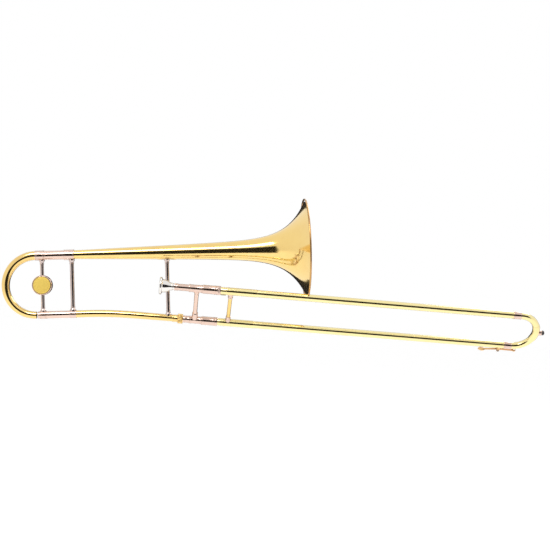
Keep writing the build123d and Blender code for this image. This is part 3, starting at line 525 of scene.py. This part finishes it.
bellEnd = bell["mouth"] - bell["beadRadius"]
fit(bellPart("bellStem", bell["tail"], bell["join"], 90), "bellLacquer", "bell_section", "bell_stem")
fit(bellPart("bellFlare", bell["join"], bellEnd, bell["rings"]), "bellLacquer", "bell_section",
        "bell_flare")
rimBead = turned("bellRimBead", softRing(bellEnd, bell["beadRadius"], bell["beadSize"]), bellFrame,
                 closed=True, soft=0, segments=192)
fit(rimBead, "drawnBrass", "bell_section", "bell_rim_wire")
print("bell built")


# ferrules, sleeves and gooseneck
ferrules = {
    "bellTailFerrule": dict(node="bell_tail_ferrule", span=(-93, -71.5), radius=11.0, bore=9.2,
            place="bell"),
    "neckFerrule": dict(node="neck_ferrule", span=(-84, -70), radius=8.4, bore=7.5, place="neck"),
}
tubeFrames = {"bell": bellFrame, "neck": neckFrame}


def ringed(start, end, radius, step=0.35, lip=1.6):
    # a ferrule outline with a turned lip and a fine groove near each end
    return [(start, radius - 0.5), (start, radius), (start + lip, radius), (start + lip, radius - step),
            (start + lip + 0.6, radius - step), (start + lip + 0.6, radius - 0.12),
            (end - lip - 0.6, radius - 0.12), (end - lip - 0.6, radius - step), (end - lip, radius - step),
            (end - lip, radius), (end, radius), (end, radius - 0.5)]


def ferrule(name, start, end, radius, bore, place):
    return hollow(name, ringed(start, end, radius), [(start, bore), (end, bore)], place, soft=0.14)


for name, size in ferrules.items():
    start, end = size["span"]
    made = ferrule(name, start, end, size["radius"], size["bore"], tubeFrames[size["place"]])
    fit(made, "nickelPolish", "bell_section", size["node"])

sleeves = {
    "upperTuningSleeve": dict(node="upper_tuning_sleeve", span=(-134.4, -88), radius=9.5, bore=9.1,
            place="bell"),
    "lowerTuningSleeve": dict(node="lower_tuning_sleeve", span=(-132.7, -77), radius=7.75, bore=7.35,
            place="neck"),
}
for name, size in sleeves.items():
    start, end = size["span"]
    lip = [(start, size["radius"] + 0.45), (start + 1.8, size["radius"] + 0.45), (start + 2.2,
            size["radius"]),
           (end, size["radius"])]
    made = hollow(name, lip, [(start, size["bore"]), (end, size["bore"])], tubeFrames[size["place"]],
            soft=0.2)
    fit(made, "nickelDrawn", "bell_section", size["node"])

gooseneck = {"bend": 850, "radius": 7.5, "endRadius": 7.0, "wall": 0.4, "start": -77, "straight": -47.5,
             "taperEnd": -17.5, "end": -13}


def gooseneckPath():
    path = []
    tangent = Vector((math.cos(neckTilt), math.sin(neckTilt)))
    corner = Vector((layout["neckCorner"] / mm, 0))
    for i in range(7):
        u = gooseneck["start"] + (gooseneck["straight"] - gooseneck["start"]) * i / 6
        path.append(tuple(corner + tangent * u))
    bendStart = corner + tangent * gooseneck["straight"]
    centre = bendStart + Vector((math.sin(neckTilt), -math.cos(neckTilt))) * gooseneck["bend"]
    for i in range(1, 25):
        a = neckTilt * (1 - i / 24)
        path.append((centre.x - gooseneck["bend"] * math.sin(a),
                centre.y + gooseneck["bend"] * math.cos(a)))
    bendEnd = path[-1][0]
    for i in range(1, 13):
        path.append((bendEnd + (gooseneck["taperEnd"] - bendEnd) * i / 12, 0.0))
    path.append((gooseneck["end"], 0.0))
    return path


def gooseneckRadius(x):
    share = min(max((x + 102.5) / (gooseneck["taperEnd"] + 102.5), 0), 1)
    return gooseneck["radius"] + (gooseneck["endRadius"] - gooseneck["radius"]) * share


neckPath = gooseneckPath()
neckTube = bentTube("gooseneck", neckPath, [gooseneckRadius(x) for x, z in neckPath], gooseneck["wall"],
        Matrix())
fit(neckTube, "tubeLacquer", "bell_section", "gooseneck")

receiver = {"start": -17.5, "end": 1.0, "radius": 7.8, "thread": 8.3, "threadStart": -6, "pitch": 0.8,
        "bore": 6.95}


def threadOutline():
    x, outline = receiver["threadStart"], []
    while x < receiver["end"] - receiver["pitch"]:
        outline += [(x, receiver["thread"]), (x + receiver["pitch"] / 2, receiver["thread"] - 0.35)]
        x += receiver["pitch"]
    return outline


collar = [(receiver["start"], receiver["radius"] - 0.4), (receiver["start"] + 0.5, receiver["radius"]),
          (receiver["start"] + 3, receiver["radius"]), (receiver["start"] + 3.2, receiver["radius"] - 0.3),
          (receiver["start"] + 4.0, receiver["radius"] - 0.3), (receiver["start"] + 4.2,
              receiver["radius"]),
          (receiver["threadStart"] - 0.4, receiver["radius"])] + threadOutline()
collar += [(receiver["end"], receiver["radius"])]
receiverPiece = hollow("bellReceiver", collar, [(receiver["start"], receiver["bore"]), (receiver["end"],
        receiver["bore"])],
                       Matrix(), soft=0.1)
fit(receiverPiece, "turnedLacquer", "bell_section", "bell_receiver")
print("bell section tubes built")


# braces
braces = {
    "neckBrace": dict(node="neck_brace", base=neckFrame, along=-77, low=0, lowSeat=8.9, high=126,
            highSeat=11.5,
                      radius=4.5, finish="bracePlate", body="bell_section"),
    "tuningBrace": dict(node="tuning_brace", base=neckFrame, along=-139.5, low=0, lowSeat=9.0, high=126,
                        highSeat=11.0, radius=4.0, finish="bracePlate", body="tuning_slide"),
    "bellBrace": dict(node="bell_brace", base=neckFrame, along=124, low=-13.9, lowSeat=7.6, high=126,
                      highSeat=bellRadius(124) + 0.7, radius=4.3, finish="bracePlate", body="bell_section"),
}


def braceProfile(radius, foot=1.9, bead=0.55):
    # flared feet with a small bead, and a slight swell towards the middle
    low = [(0, radius + foot, "low"), (0.9, radius + foot, ""), (1.5, radius + foot * 0.8, ""),
           (2.6, radius + foot * 0.38, ""), (4.4, radius + 0.25, ""), (5.4, radius, ""),
           (6.0, radius, ""), (6.3, radius + bead, ""), (7.3, radius + bead, ""), (7.6, radius, ""),
           (14.0, radius - 0.15, "")]
    high = [(-share, r, "high" if seat == "low" else "") for share, r, seat in low[::-1]]
    return low + high


for name, size in braces.items():
    made = spar(name, size["base"], size["along"], size["low"], size["high"], size["lowSeat"],
            size["highSeat"],
                braceProfile(size["radius"]))
    fit(made, size["finish"], size["body"], size["node"])


def footPlates(names, finish, body, node, *pieces):
    for name, made in zip(names, pieces):
        fit(made, finish, body, node)


plates = {"width": 13, "thick": 0.7, "bellLength": 40, "bellWidth": 18}
neckPlace, weightPlace = braces["neckBrace"]["along"], braces["tuningBrace"]["along"]
bellAxis = layout["bellHeight"] / mm
footPlates(("neckBraceLowerPlate", "neckBraceUpperPlate"), "nickelPolish", "bell_section",
        "neck_brace_flanges",
           saddle("neckBraceLowerPlate", neckFrame, neckPlace, 0, 8.4, 1, 12, plates["width"],
               plates["thick"]),
           saddle("neckBraceUpperPlate", neckFrame, neckPlace, bellAxis, 11.0, -1, 12, plates["width"],
               plates["thick"]))
footPlates(("tuningBraceLowerPlate", "tuningBraceUpperPlate"), "nickelPolish", "tuning_slide",
           "tuning_brace_flanges",
           saddle("tuningBraceLowerPlate", neckFrame, weightPlace, 0, 8.4, 1, 11.5, 12.5, plates["thick"]),
           saddle("tuningBraceUpperPlate", neckFrame, weightPlace, bellAxis, 10.45, -1, 11.5, 12.5,
               plates["thick"]))
footPlates(("bellBraceDiamond", "bellBraceLowerPlate"), "tubeLacquer", "bell_section", "bell_brace_flanges",
           saddle("bellBraceDiamond", neckFrame, braces["bellBrace"]["along"], bellAxis, bellRadius, -1,
               plates["bellLength"],
                  plates["bellWidth"], plates["thick"], diamond=True),
           saddle("bellBraceLowerPlate", Matrix(), -25.2, 0, gooseneckRadius, 1, 13, 13, plates["thick"]))
print("braces built")


# main tuning slide and counterweight
bow = {"start": -153, "bend": 63, "upperRadius": 9.55, "lowerRadius": 7.5, "wall": 0.5}


def bowPath(count=72):
    path = []
    for i in range(count + 1):
        a = math.pi * i / count
        path.append((bow["start"] - bow["bend"] * math.sin(a), bow["bend"] + bow["bend"] * math.cos(a)))
    return path


curve = bowPath()
curveRadii = [bow["upperRadius"] + (bow["lowerRadius"] - bow["upperRadius"]) * i / (len(curve) - 1)
              for i in range(len(curve))]
fit(bentTube("tuningBow", curve, curveRadii, bow["wall"], neckFrame), "tubeLacquer", "tuning_slide",
        "tuning_bow")
fit(ferrule("upperBowFerrule", -153, -134.7, 10.45, 9.55, bellFrame), "nickelPolish", "tuning_slide",
    "upper_bow_ferrule")
fit(ferrule("lowerBowFerrule", -146, -133, 8.4, 7.5, neckFrame), "nickelPolish", "tuning_slide",
    "lower_bow_ferrule")
fit(plainTube("upperTuningLeg", -148, -90.5, 9.05, 8.65, bellFrame), "nickelDrawn", "tuning_slide",
    "upper_tuning_leg")
fit(plainTube("lowerTuningLeg", -150, -79.5, 7.3, 6.9, neckFrame), "nickelDrawn", "tuning_slide",
    "lower_tuning_leg")

weight = {"radius": 20.8, "half": 9.5, "chamfer": 1.6, "capRadius": 18, "capRise": 1.5, "line": 0.12}
weightFrame = (neckFrame @ Matrix.Translation((weightPlace * mm, 0, bow["bend"] * mm))
               @ Matrix.Rotation(math.radians(90), 4, "Z"))  # local X points along +Y


def halfWeight(name, start, end):
    r, c = weight["radius"], weight["chamfer"]
    outward = start < 0
    if outward:
        outline = [(start, 0.0), (start, r - c), (start + c, r), (end - 0.3, r), (end, r - 0.3), (end, 0.0)]
    else:
        outline = [(start, 0.0), (start, r - 0.3), (start + 0.3, r), (end - c, r), (end, r - c), (end, 0.0)]
    return turned(name, outline, weightFrame, soft=0.35)


fit(halfWeight("counterweightFront", -weight["half"], -weight["line"]), "nickelPolish", "tuning_slide",
    "counterweight_front")
fit(halfWeight("counterweightBack", weight["line"], weight["half"]), "nickelPolish", "tuning_slide",
    "counterweight_back")
face, capTop = -weight["half"], -weight["half"] - weight["capRise"]
capOutline = [(capTop, 0.0), (capTop, 15.2), (capTop + 0.25, 15.4), (capTop + 0.25, 15.9), (capTop, 16.1),
              (capTop, weight["capRadius"] - 0.8), (capTop + 0.6, weight["capRadius"]),
              (face + 0.05, weight["capRadius"])]
fit(turned("counterweightCap", capOutline, weightFrame, soft=0.2), "weightFace", "tuning_slide",
    "counterweight_cap")
print("tuning slide built")


# lock nut, inner slide
nut = {"half": 5.4, "radius": 10.6, "bore": 8.45, "flutes": 24, "depth": 0.55}


def nutRipple(along, radius, angle):
    # rounded flutes, faded out at the turned lips
    if radius < nut["radius"] - 1.2 or abs(along) > 3.6:
        return radius
    wave = abs(math.cos(nut["flutes"] * angle / 2)) ** 0.7
    return radius - nut["depth"] * (1 - wave) - 0.15


nutOuter = [(-5.4, 9.4), (-5.1, 10.2), (-4.4, 10.55), (-3.9, 10.55), (-3.7, 10.1), (-3.5, 10.1), (-3.3,
        10.6),
            (-1.6, 10.6), (0.0, 10.6), (1.6, 10.6), (3.3, 10.6), (3.5, 10.1), (3.7, 10.1), (3.9, 10.55),
            (4.4, 10.55), (5.1, 10.2), (5.4, 9.4)]
nutPiece = hollow("bellLockNut", nutOuter, [(-nut["half"], nut["bore"]), (nut["half"], nut["bore"])],
        Matrix(), soft=0.1,
                  segments=240, ripple=nutRipple)
fit(nutPiece, "turnedLacquer", "bell_lock_nut", "bell_lock_nut")

tenonStart = spanX("slide_tenon")[0]
tenon = [(tenonStart, 6.2), (1.2, 6.75), (1.3, 8.2), (2.9, 8.2), (3.1, 7.5), (8.6, 7.5), (8.8, 7.9),
        (10.2, 7.9),
         (10.4, 7.5), (17.4, 7.5), (17.6, 7.85), (19.6, 7.85), (20.0, 7.5)]
fit(hollow("slideTenon", tenon, [(tenonStart, 5.8), (20, 5.9)], slideFrame, soft=0.18), "nickelPolish",
    "inner_slide", "slide_tenon")

slideTubes = {
    "lowerInnerTube": dict(node="lower_inner_tube", radius=7.025, bore=6.675, upper=False,
            finish="silverPlate",
                           body="inner_slide"),
    "upperInnerTube": dict(node="upper_inner_tube", radius=7.025, bore=6.675, upper=True,
            finish="silverPlate",
                           body="inner_slide"),
    "lowerStocking": dict(node="lower_stocking", radius=7.125, bore=7.03, upper=False, finish="silverPlate",
                          body="inner_slide"),
    "upperStocking": dict(node="upper_stocking", radius=7.125, bore=7.03, upper=True, finish="silverPlate",
                          body="inner_slide"),
    "lowerOuterTube": dict(node="lower_outer_tube", radius=7.575, bore=7.325, upper=False,
                           finish="slideLacquerWithPaintedHighlight", body="outer_slide"),
    "upperOuterTube": dict(node="upper_outer_tube", radius=7.575, bore=7.325, upper=True,
                           finish="slideLacquerWithPaintedHighlight", body="outer_slide"),
}
for name, size in slideTubes.items():
    start, end = spanX(size["node"])
    place = upperFrame if size["upper"] else slideFrame
    fit(plainTube(name, start, end, size["radius"], size["bore"], place), size["finish"], size["body"],
            size["node"])


def braceSleeve(name, node, place):
    start, end = spanX(node)
    r, bead = 7.9, 8.5
    outline = [(start, r), (start, bead), (start + 2, bead), (start + 2.3, r), (end - 2.3, r), (end - 2,
            bead),
               (end, bead), (end, r)]
    return fit(hollow(name, outline, [(start, 7.1), (end, 7.1)], place, soft=0.4), "nickelPolish",
            "inner_slide", node)


def corkBarrel(name, node, place):
    start, end = spanX(node)
    r, ring = 9.1, 9.43
    outline = [(start, 7.8), (start, ring), (start + 2, ring), (start + 2.3, r), (end - 9.2, r), (end - 9,
            ring),
               (end - 6.6, ring), (end - 6.4, r), (end - 5.6, r), (end - 5.4, ring), (end - 0.6, ring),
                   (end, 9.0)]
    bore = [(start, 7.1), (start + 1.4, 7.1), (start + 1.4, 8.5), (end, 8.5)]
    return fit(hollow(name, outline, bore, place, soft=0.22), "nickelPolish", "inner_slide", node)


braceSleeve("lowerBraceSleeve", "lower_brace_sleeve", slideFrame)
braceSleeve("upperBraceSleeve", "upper_brace_sleeve", upperFrame)
corkBarrel("lowerCorkBarrel", "lower_cork_barrel", slideFrame)
corkBarrel("upperCorkBarrel", "upper_cork_barrel", upperFrame)

socket = {"start": spanX("mouthpiece_receiver")[0], "end": spanX("mouthpiece_receiver")[1]}
socketOuter = [(socket["start"], 6.9), (socket["start"], 7.7), (-14, 7.7), (-13.8, 7.0), (-12.2, 7.0),
        (-12, 7.7),
               (-10, 7.7), (-9.8, 7.0), (socket["end"], 7.0)]
fit(hollow("mouthpieceReceiver", socketOuter, [(socket["start"], 6.5), (socket["end"], 6.1)], upperFrame,
        soft=0.25),
    "nickelPolish", "inner_slide", "mouthpiece_receiver")

innerBrace = {"along": 30.3, "radius": 4.6, "footHeight": 12}
footHeight, innerRadius = innerBrace["footHeight"], innerBrace["radius"]
innerProfile = [(0, 6.4, "low"), (1.2, 6.0, ""), (4, innerRadius, ""), (30, innerRadius - 0.15, ""),
                (-30, innerRadius - 0.15, ""), (-8, innerRadius, ""), (-4.5, innerRadius + 0.3, ""),
                (-2.2, innerRadius + 1.0, ""), (-1.0, 6.2, ""), (0, 6.4, "high")]
fit(spar("innerBrace", slideFrame, innerBrace["along"], 0, layout["slideSpacing"] / mm, 7.9, 7.9,
        innerProfile),
    "nickelDrawn", "inner_slide", "inner_brace")
collarProfile = [(0, 6.7, "low"), (1.4, 6.7, ""), (2.0, 6.4, ""), (9.2, 5.6, ""), (9.6, 6.1, ""), (11.4,
        6.1, ""),
                 (footHeight, 5.5, ""), (footHeight, innerRadius, "")]
fit(spar("innerBraceFerrule", slideFrame, innerBrace["along"], 0, layout["slideSpacing"] / mm, 7.9, 7.9,
         collarProfile), "nickelPolish", "inner_slide", "inner_brace_ferrule")
print("inner slide built")


# slide lock ring and mouthpiece
lockRing = {"knurls": 40, "depth": 0.3, "bore": 8.45}


lockStart, lockEnd = spanX("slide_lock_ring")


def lockRipple(along, radius, angle):
    if radius < 9.5 or not lockStart + 2.1 < along < lockEnd - 2.1:
        return radius
    return radius - lockRing["depth"] * (0.5 + 0.5 * math.cos(lockRing["knurls"] * angle))


lockOuter = [(lockStart, 8.9), (lockStart + 0.4, 9.4), (lockStart + 1.8, 9.4), (lockStart + 2.2, 9.6),
             (lockStart + 4, 9.6), (lockEnd - 2.2, 9.6), (lockEnd - 1.8, 9.4), (lockEnd - 0.4, 9.4),
                 (lockEnd, 8.9)]
lockPiece = hollow("slideLockRing", lockOuter, [(lockStart, lockRing["bore"]), (lockEnd, lockRing["bore"])],
                   upperFrame, soft=0.1, segments=240, ripple=lockRipple)
fit(lockPiece, "nickelPolish", "slide_lock_ring", "slide_lock_ring")

mouthpieceOuter = [(-48, 13.4), (-48, 15.4), (-47.5, 17.2), (-46.3, 18.1), (-44.4, 18.2), (-43.2, 17.3),
                   (-42.4, 14.8), (-41, 13.6), (-37, 13.3), (-33, 12.5), (-29.5, 10.9), (-26.5, 9.0),
                       (-24.2, 7.8),
                   (-22.6, 7.2), (-22.2, 7.9), (-20.8, 7.9), (-20.4, 7.0), (-18.4, 6.5), (-16, 6.35), (34,
                       5.4)]
mouthpieceBore = [(-47.0, 12.8), (-43, 12.2), (-38, 11.0), (-33, 8.7), (-29, 5.6), (-26, 3.2), (-20, 3.4),
        (34, 4.9)]
fit(hollow("mouthpiece", mouthpieceOuter, mouthpieceBore, upperFrame, soft=0.5), "silverPlate",
        "mouthpiece",
    "mouthpiece")
print("mouthpiece built")


# outer slide
for name, node, place in (("lowerGripSleeve", "lower_grip_sleeve", slideFrame),
                          ("upperGripSleeve", "upper_grip_sleeve", upperFrame)):
    start, end = spanX(node)
    rounded = [(start, 7.75), (start + 0.5, 8.05), (end - 0.8, 8.05), (end, 7.7)]
    fit(hollow(name, rounded, [(start, 7.58), (end, 7.58)], place, soft=0.2), "slideLacquerWithPaintedHighlight",
            "outer_slide", node)

outerBrace = {"along": 101.5, "seat": 8.05}
spacing = layout["slideSpacing"] / mm
rodProfile = [(0, 4.0, "low"), (8, 4.2, ""), (26, 4.0, ""), (-26, 4.0, ""), (-8, 4.2, ""), (0, 4.0, "high")]
fit(spar("outerBrace", slideFrame, outerBrace["along"], 0, spacing, outerBrace["seat"], outerBrace["seat"],
         rodProfile), "tubeLacquer", "outer_slide", "outer_brace")
footProfile = [(0, 6.2, "low"), (1.0, 6.2, ""), (1.6, 5.9, ""), (3.4, 5.1, ""), (6.4, 4.75, ""), (6.7,
        5.3, ""),
               (8.4, 5.3, ""), (8.7, 4.7, ""), (9.6, 4.5, ""), (9.6, 4.1, "")]
upperFoot = [(-share, r, "high" if seat else "") for share, r, seat in footProfile]
for name, profile in (("outerBraceLowerFoot", footProfile), ("outerBraceUpperFoot", upperFoot)):
    fit(spar(name, slideFrame, outerBrace["along"], 0, spacing, outerBrace["seat"], outerBrace["seat"],
            profile),
        "nickelPolish", "outer_slide", "outer_brace_ferrules")

ferruleStart, ferruleEnd = spanX("bow_ferrules")
for name, place in (("lowerEndFerrule", slideFrame), ("upperEndFerrule", upperFrame)):
    fit(ferrule(name, ferruleStart, ferruleEnd, 8.3, 7.3, place), "nickelPolish", "outer_slide",
            "bow_ferrules")

endBow = {"straight": 725, "radius": 7.3, "wall": 0.4, "guardHalf": 20, "guardRise": 0.7}
bend = spacing / 2


def endBowPoint(a):
    return endBow["straight"] + bend * math.sin(a), bend - bend * math.cos(a)


bowLine = [(716, 0.0)] + [endBowPoint(math.pi * i / 72) for i in range(73)] + [(716, spacing)]
fit(bentTube("endBow", bowLine, [endBow["radius"]] * len(bowLine), endBow["wall"], slideFrame),
        "slideLacquerWithPaintedHighlight",
    "outer_slide", "end_bow")
guardTurn = endBow["guardHalf"] / bend
guardLine = [endBowPoint(math.pi / 2 - guardTurn + 2 * guardTurn * i / 30) for i in range(31)]
guardRadii = [endBow["radius"] + endBow["guardRise"] * min(1, 0.35 + min(i,
        30 - i) * 0.4) for i in range(31)]
fit(bentTube("bowGuard", guardLine, guardRadii, 0.6, slideFrame), "slideLacquerWithPaintedHighlight", "outer_slide",
        "bow_guard")

bumperFrame = slideFrame @ Matrix.Translation((0, 0, bend * mm))
socketStart, socketEnd = spanX("bumper_socket")
bumperStart, bumperEnd = spanX("rubber_bumper")
socketProfile = [(socketStart, 6.2), (socketEnd - 1.6, 6.2), (socketEnd - 1.4, 5.9), (socketEnd - 1.0, 5.9),
                 (socketEnd - 0.8, 6.2), (socketEnd, 6.0)]
fit(hollow("bumperSocket", socketProfile, [(socketStart, 5.2), (socketEnd, 5.2)], bumperFrame, soft=0.2,
           segments=layout["smallSegments"]), "nickelPolish", "outer_slide", "bumper_socket")
bumperProfile = [(bumperStart, 0.0), (bumperStart, 5.15), (bumperEnd - 3.0, 5.15), (bumperEnd - 1.4, 4.6),
                 (bumperEnd - 0.4, 3.2), (bumperEnd, 1.4), (bumperEnd, 0.0)]
fit(turned("rubberBumper", bumperProfile, bumperFrame, soft=1.2, segments=layout["smallSegments"]),
        "bumperRubber",
    "outer_slide", "rubber_bumper")
print("outer slide built")


# CAD pieces shown as they are
shownNodes = {
    "water_key_lever": "keyBrass", "water_key_saddle": "keyBrass", "water_key_nipple": "nickelPolish",
    "water_key_screw": "springSteel", "water_key_spring": "springSteel", "water_key_cork": "keyCork",
    "slide_lock_pin": "lockPinDarkOlive", "slide_felts": "feltRed", "leadpipe": "drawnBrass",
    "counterweight_screws": "springSteel",
}
for node, finish in shownNodes.items():
    part = frame["nodes"][node]
    part.data.materials.clear()
    part.data.materials.append(finishes[finish])
print("CAD pieces finished:", len(shownNodes))


# floor, light and cards
studio = {
    "floor": -0.62, "skyStrength": 0.78, "lampPower": 34.0, "lampAim": (0.2, 0, 0.05), "fillShare": 0.5,
    "reach": 14.0,
    "cardDistance": 1.0, "cardHalfHeight": 0.50, "cardLeft": -0.66, "cardRight": 1.75,
}


def plainSheet(name, corners):
    mesh = bpy.data.meshes.new(name)
    mesh.from_pydata(corners, [], [(0, 1, 2, 3)])
    made = bpy.data.objects.new(name, mesh)
    bpy.context.scene.collection.objects.link(made)
    return made


def floorMaterial():
    material = bpy.data.materials.new("paleFloor")
    material.use_nodes = True
    tree = material.node_tree
    shader = tree.nodes["Principled BSDF"]
    shader.inputs["Base Color"].default_value = (0.9, 0.9, 0.9, 1)
    shader.inputs["Roughness"].default_value = 0.9
    shader.inputs["Emission Color"].default_value = (1, 1, 1, 1)
    path = tree.nodes.new("ShaderNodeLightPath")
    seen = addMath(tree, "MAXIMUM", path.outputs["Is Camera Ray"], path.outputs["Is Glossy Ray"])
    seen = addMath(tree, "MAXIMUM", seen, path.outputs["Is Transmission Ray"])
    tree.links.new(addMath(tree, "MULTIPLY", seen, 0.27), shader.inputs["Emission Strength"])
    return material


reach = studio["reach"]
floorSheet = plainSheet("studioFloor", [(-reach, -reach, studio["floor"]), (reach, -reach, studio["floor"]),
                                        (reach, reach, studio["floor"]), (-reach, reach, studio["floor"])])
floorSheet.data.materials.append(floorMaterial())


def cardMaterial():
    material = bpy.data.materials.new("darkCard")
    material.use_nodes = True
    shader = material.node_tree.nodes["Principled BSDF"]
    shader.inputs["Base Color"].default_value = (0.012, 0.011, 0.012, 1)
    shader.inputs["Roughness"].default_value = 1.0
    return material


darkCard = cardMaterial()


def addCard(name, corners):
    # a dark sheet that only polished metal can see
    card = plainSheet(name, corners)
    card.data.materials.append(darkCard)
    card.visible_camera = False
    card.visible_shadow = False
    card.visible_diffuse = False


cardLow, cardHigh = 0.06 - studio["cardHalfHeight"], 0.06 + studio["cardHalfHeight"]
for name, y in (("frontCard", -studio["cardDistance"]), ("backCard", studio["cardDistance"])):
    left, right = studio["cardLeft"], studio["cardRight"]
    addCard(name, [(left, y, cardLow), (right, y, cardLow), (right, y, cardHigh), (left, y, cardHigh)])


def addLamp(name, place, aim, size, power):
    lamp = bpy.data.lights.new(name, "AREA")
    lamp.shape = "RECTANGLE"
    lamp.size, lamp.size_y = size
    lamp.energy = power
    made = bpy.data.objects.new(name, lamp)
    bpy.context.scene.collection.objects.link(made)
    made.location = place
    made.rotation_euler = (Vector(aim) - Vector(place)).to_track_quat("-Z", "Y").to_euler()


addLamp("keyLamp", (-0.9, -2.0, 2.2), studio["lampAim"], (1.6, 0.8), studio["lampPower"])
addLamp("fillLamp", (1.8, 1.4, 1.9), studio["lampAim"], (1.2, 0.8),
        studio["lampPower"] * studio["fillShare"])

world = bpy.data.worlds.new("studioWorld")
bpy.context.scene.world = world
world.use_nodes = True
worldTree = world.node_tree
backdrop = worldTree.nodes["Background"]
backdrop.inputs["Color"].default_value = (1, 1, 1, 1)
worldPath = worldTree.nodes.new("ShaderNodeLightPath")
direct = addMath(worldTree, "MAXIMUM", worldPath.outputs["Is Camera Ray"],
        worldPath.outputs["Is Glossy Ray"])
direct = addMath(worldTree, "MAXIMUM", direct, worldPath.outputs["Is Transmission Ray"])
direct = addMath(worldTree, "MULTIPLY", direct, 1.0 - studio["skyStrength"])
worldTree.links.new(addMath(worldTree, "ADD", direct, studio["skyStrength"]), backdrop.inputs["Strength"])
print("studio built")


# camera
view = {"place": (0.034, -2.15, 0.097), "aim": (0.1946, 0.0, 0.1103), "focal": 65.5, "roll": 4.83}
cameraData = bpy.data.cameras.new("camera")
cameraData.lens = view["focal"]
cameraData.sensor_width = 36
cameraData.clip_end = 60
camera = bpy.data.objects.new("camera", cameraData)
bpy.context.scene.collection.objects.link(camera)
heading = (Vector(view["aim"]) - Vector(view["place"])).to_track_quat("-Z", "Y").to_matrix().to_4x4()
roll = Matrix.Rotation(math.radians(view["roll"]), 4, "Z")
camera.matrix_world = Matrix.Translation(view["place"]) @ heading @ roll
bpy.context.scene.camera = camera
bpy.context.scene.view_settings.view_transform = "Standard"
print("camera placed")
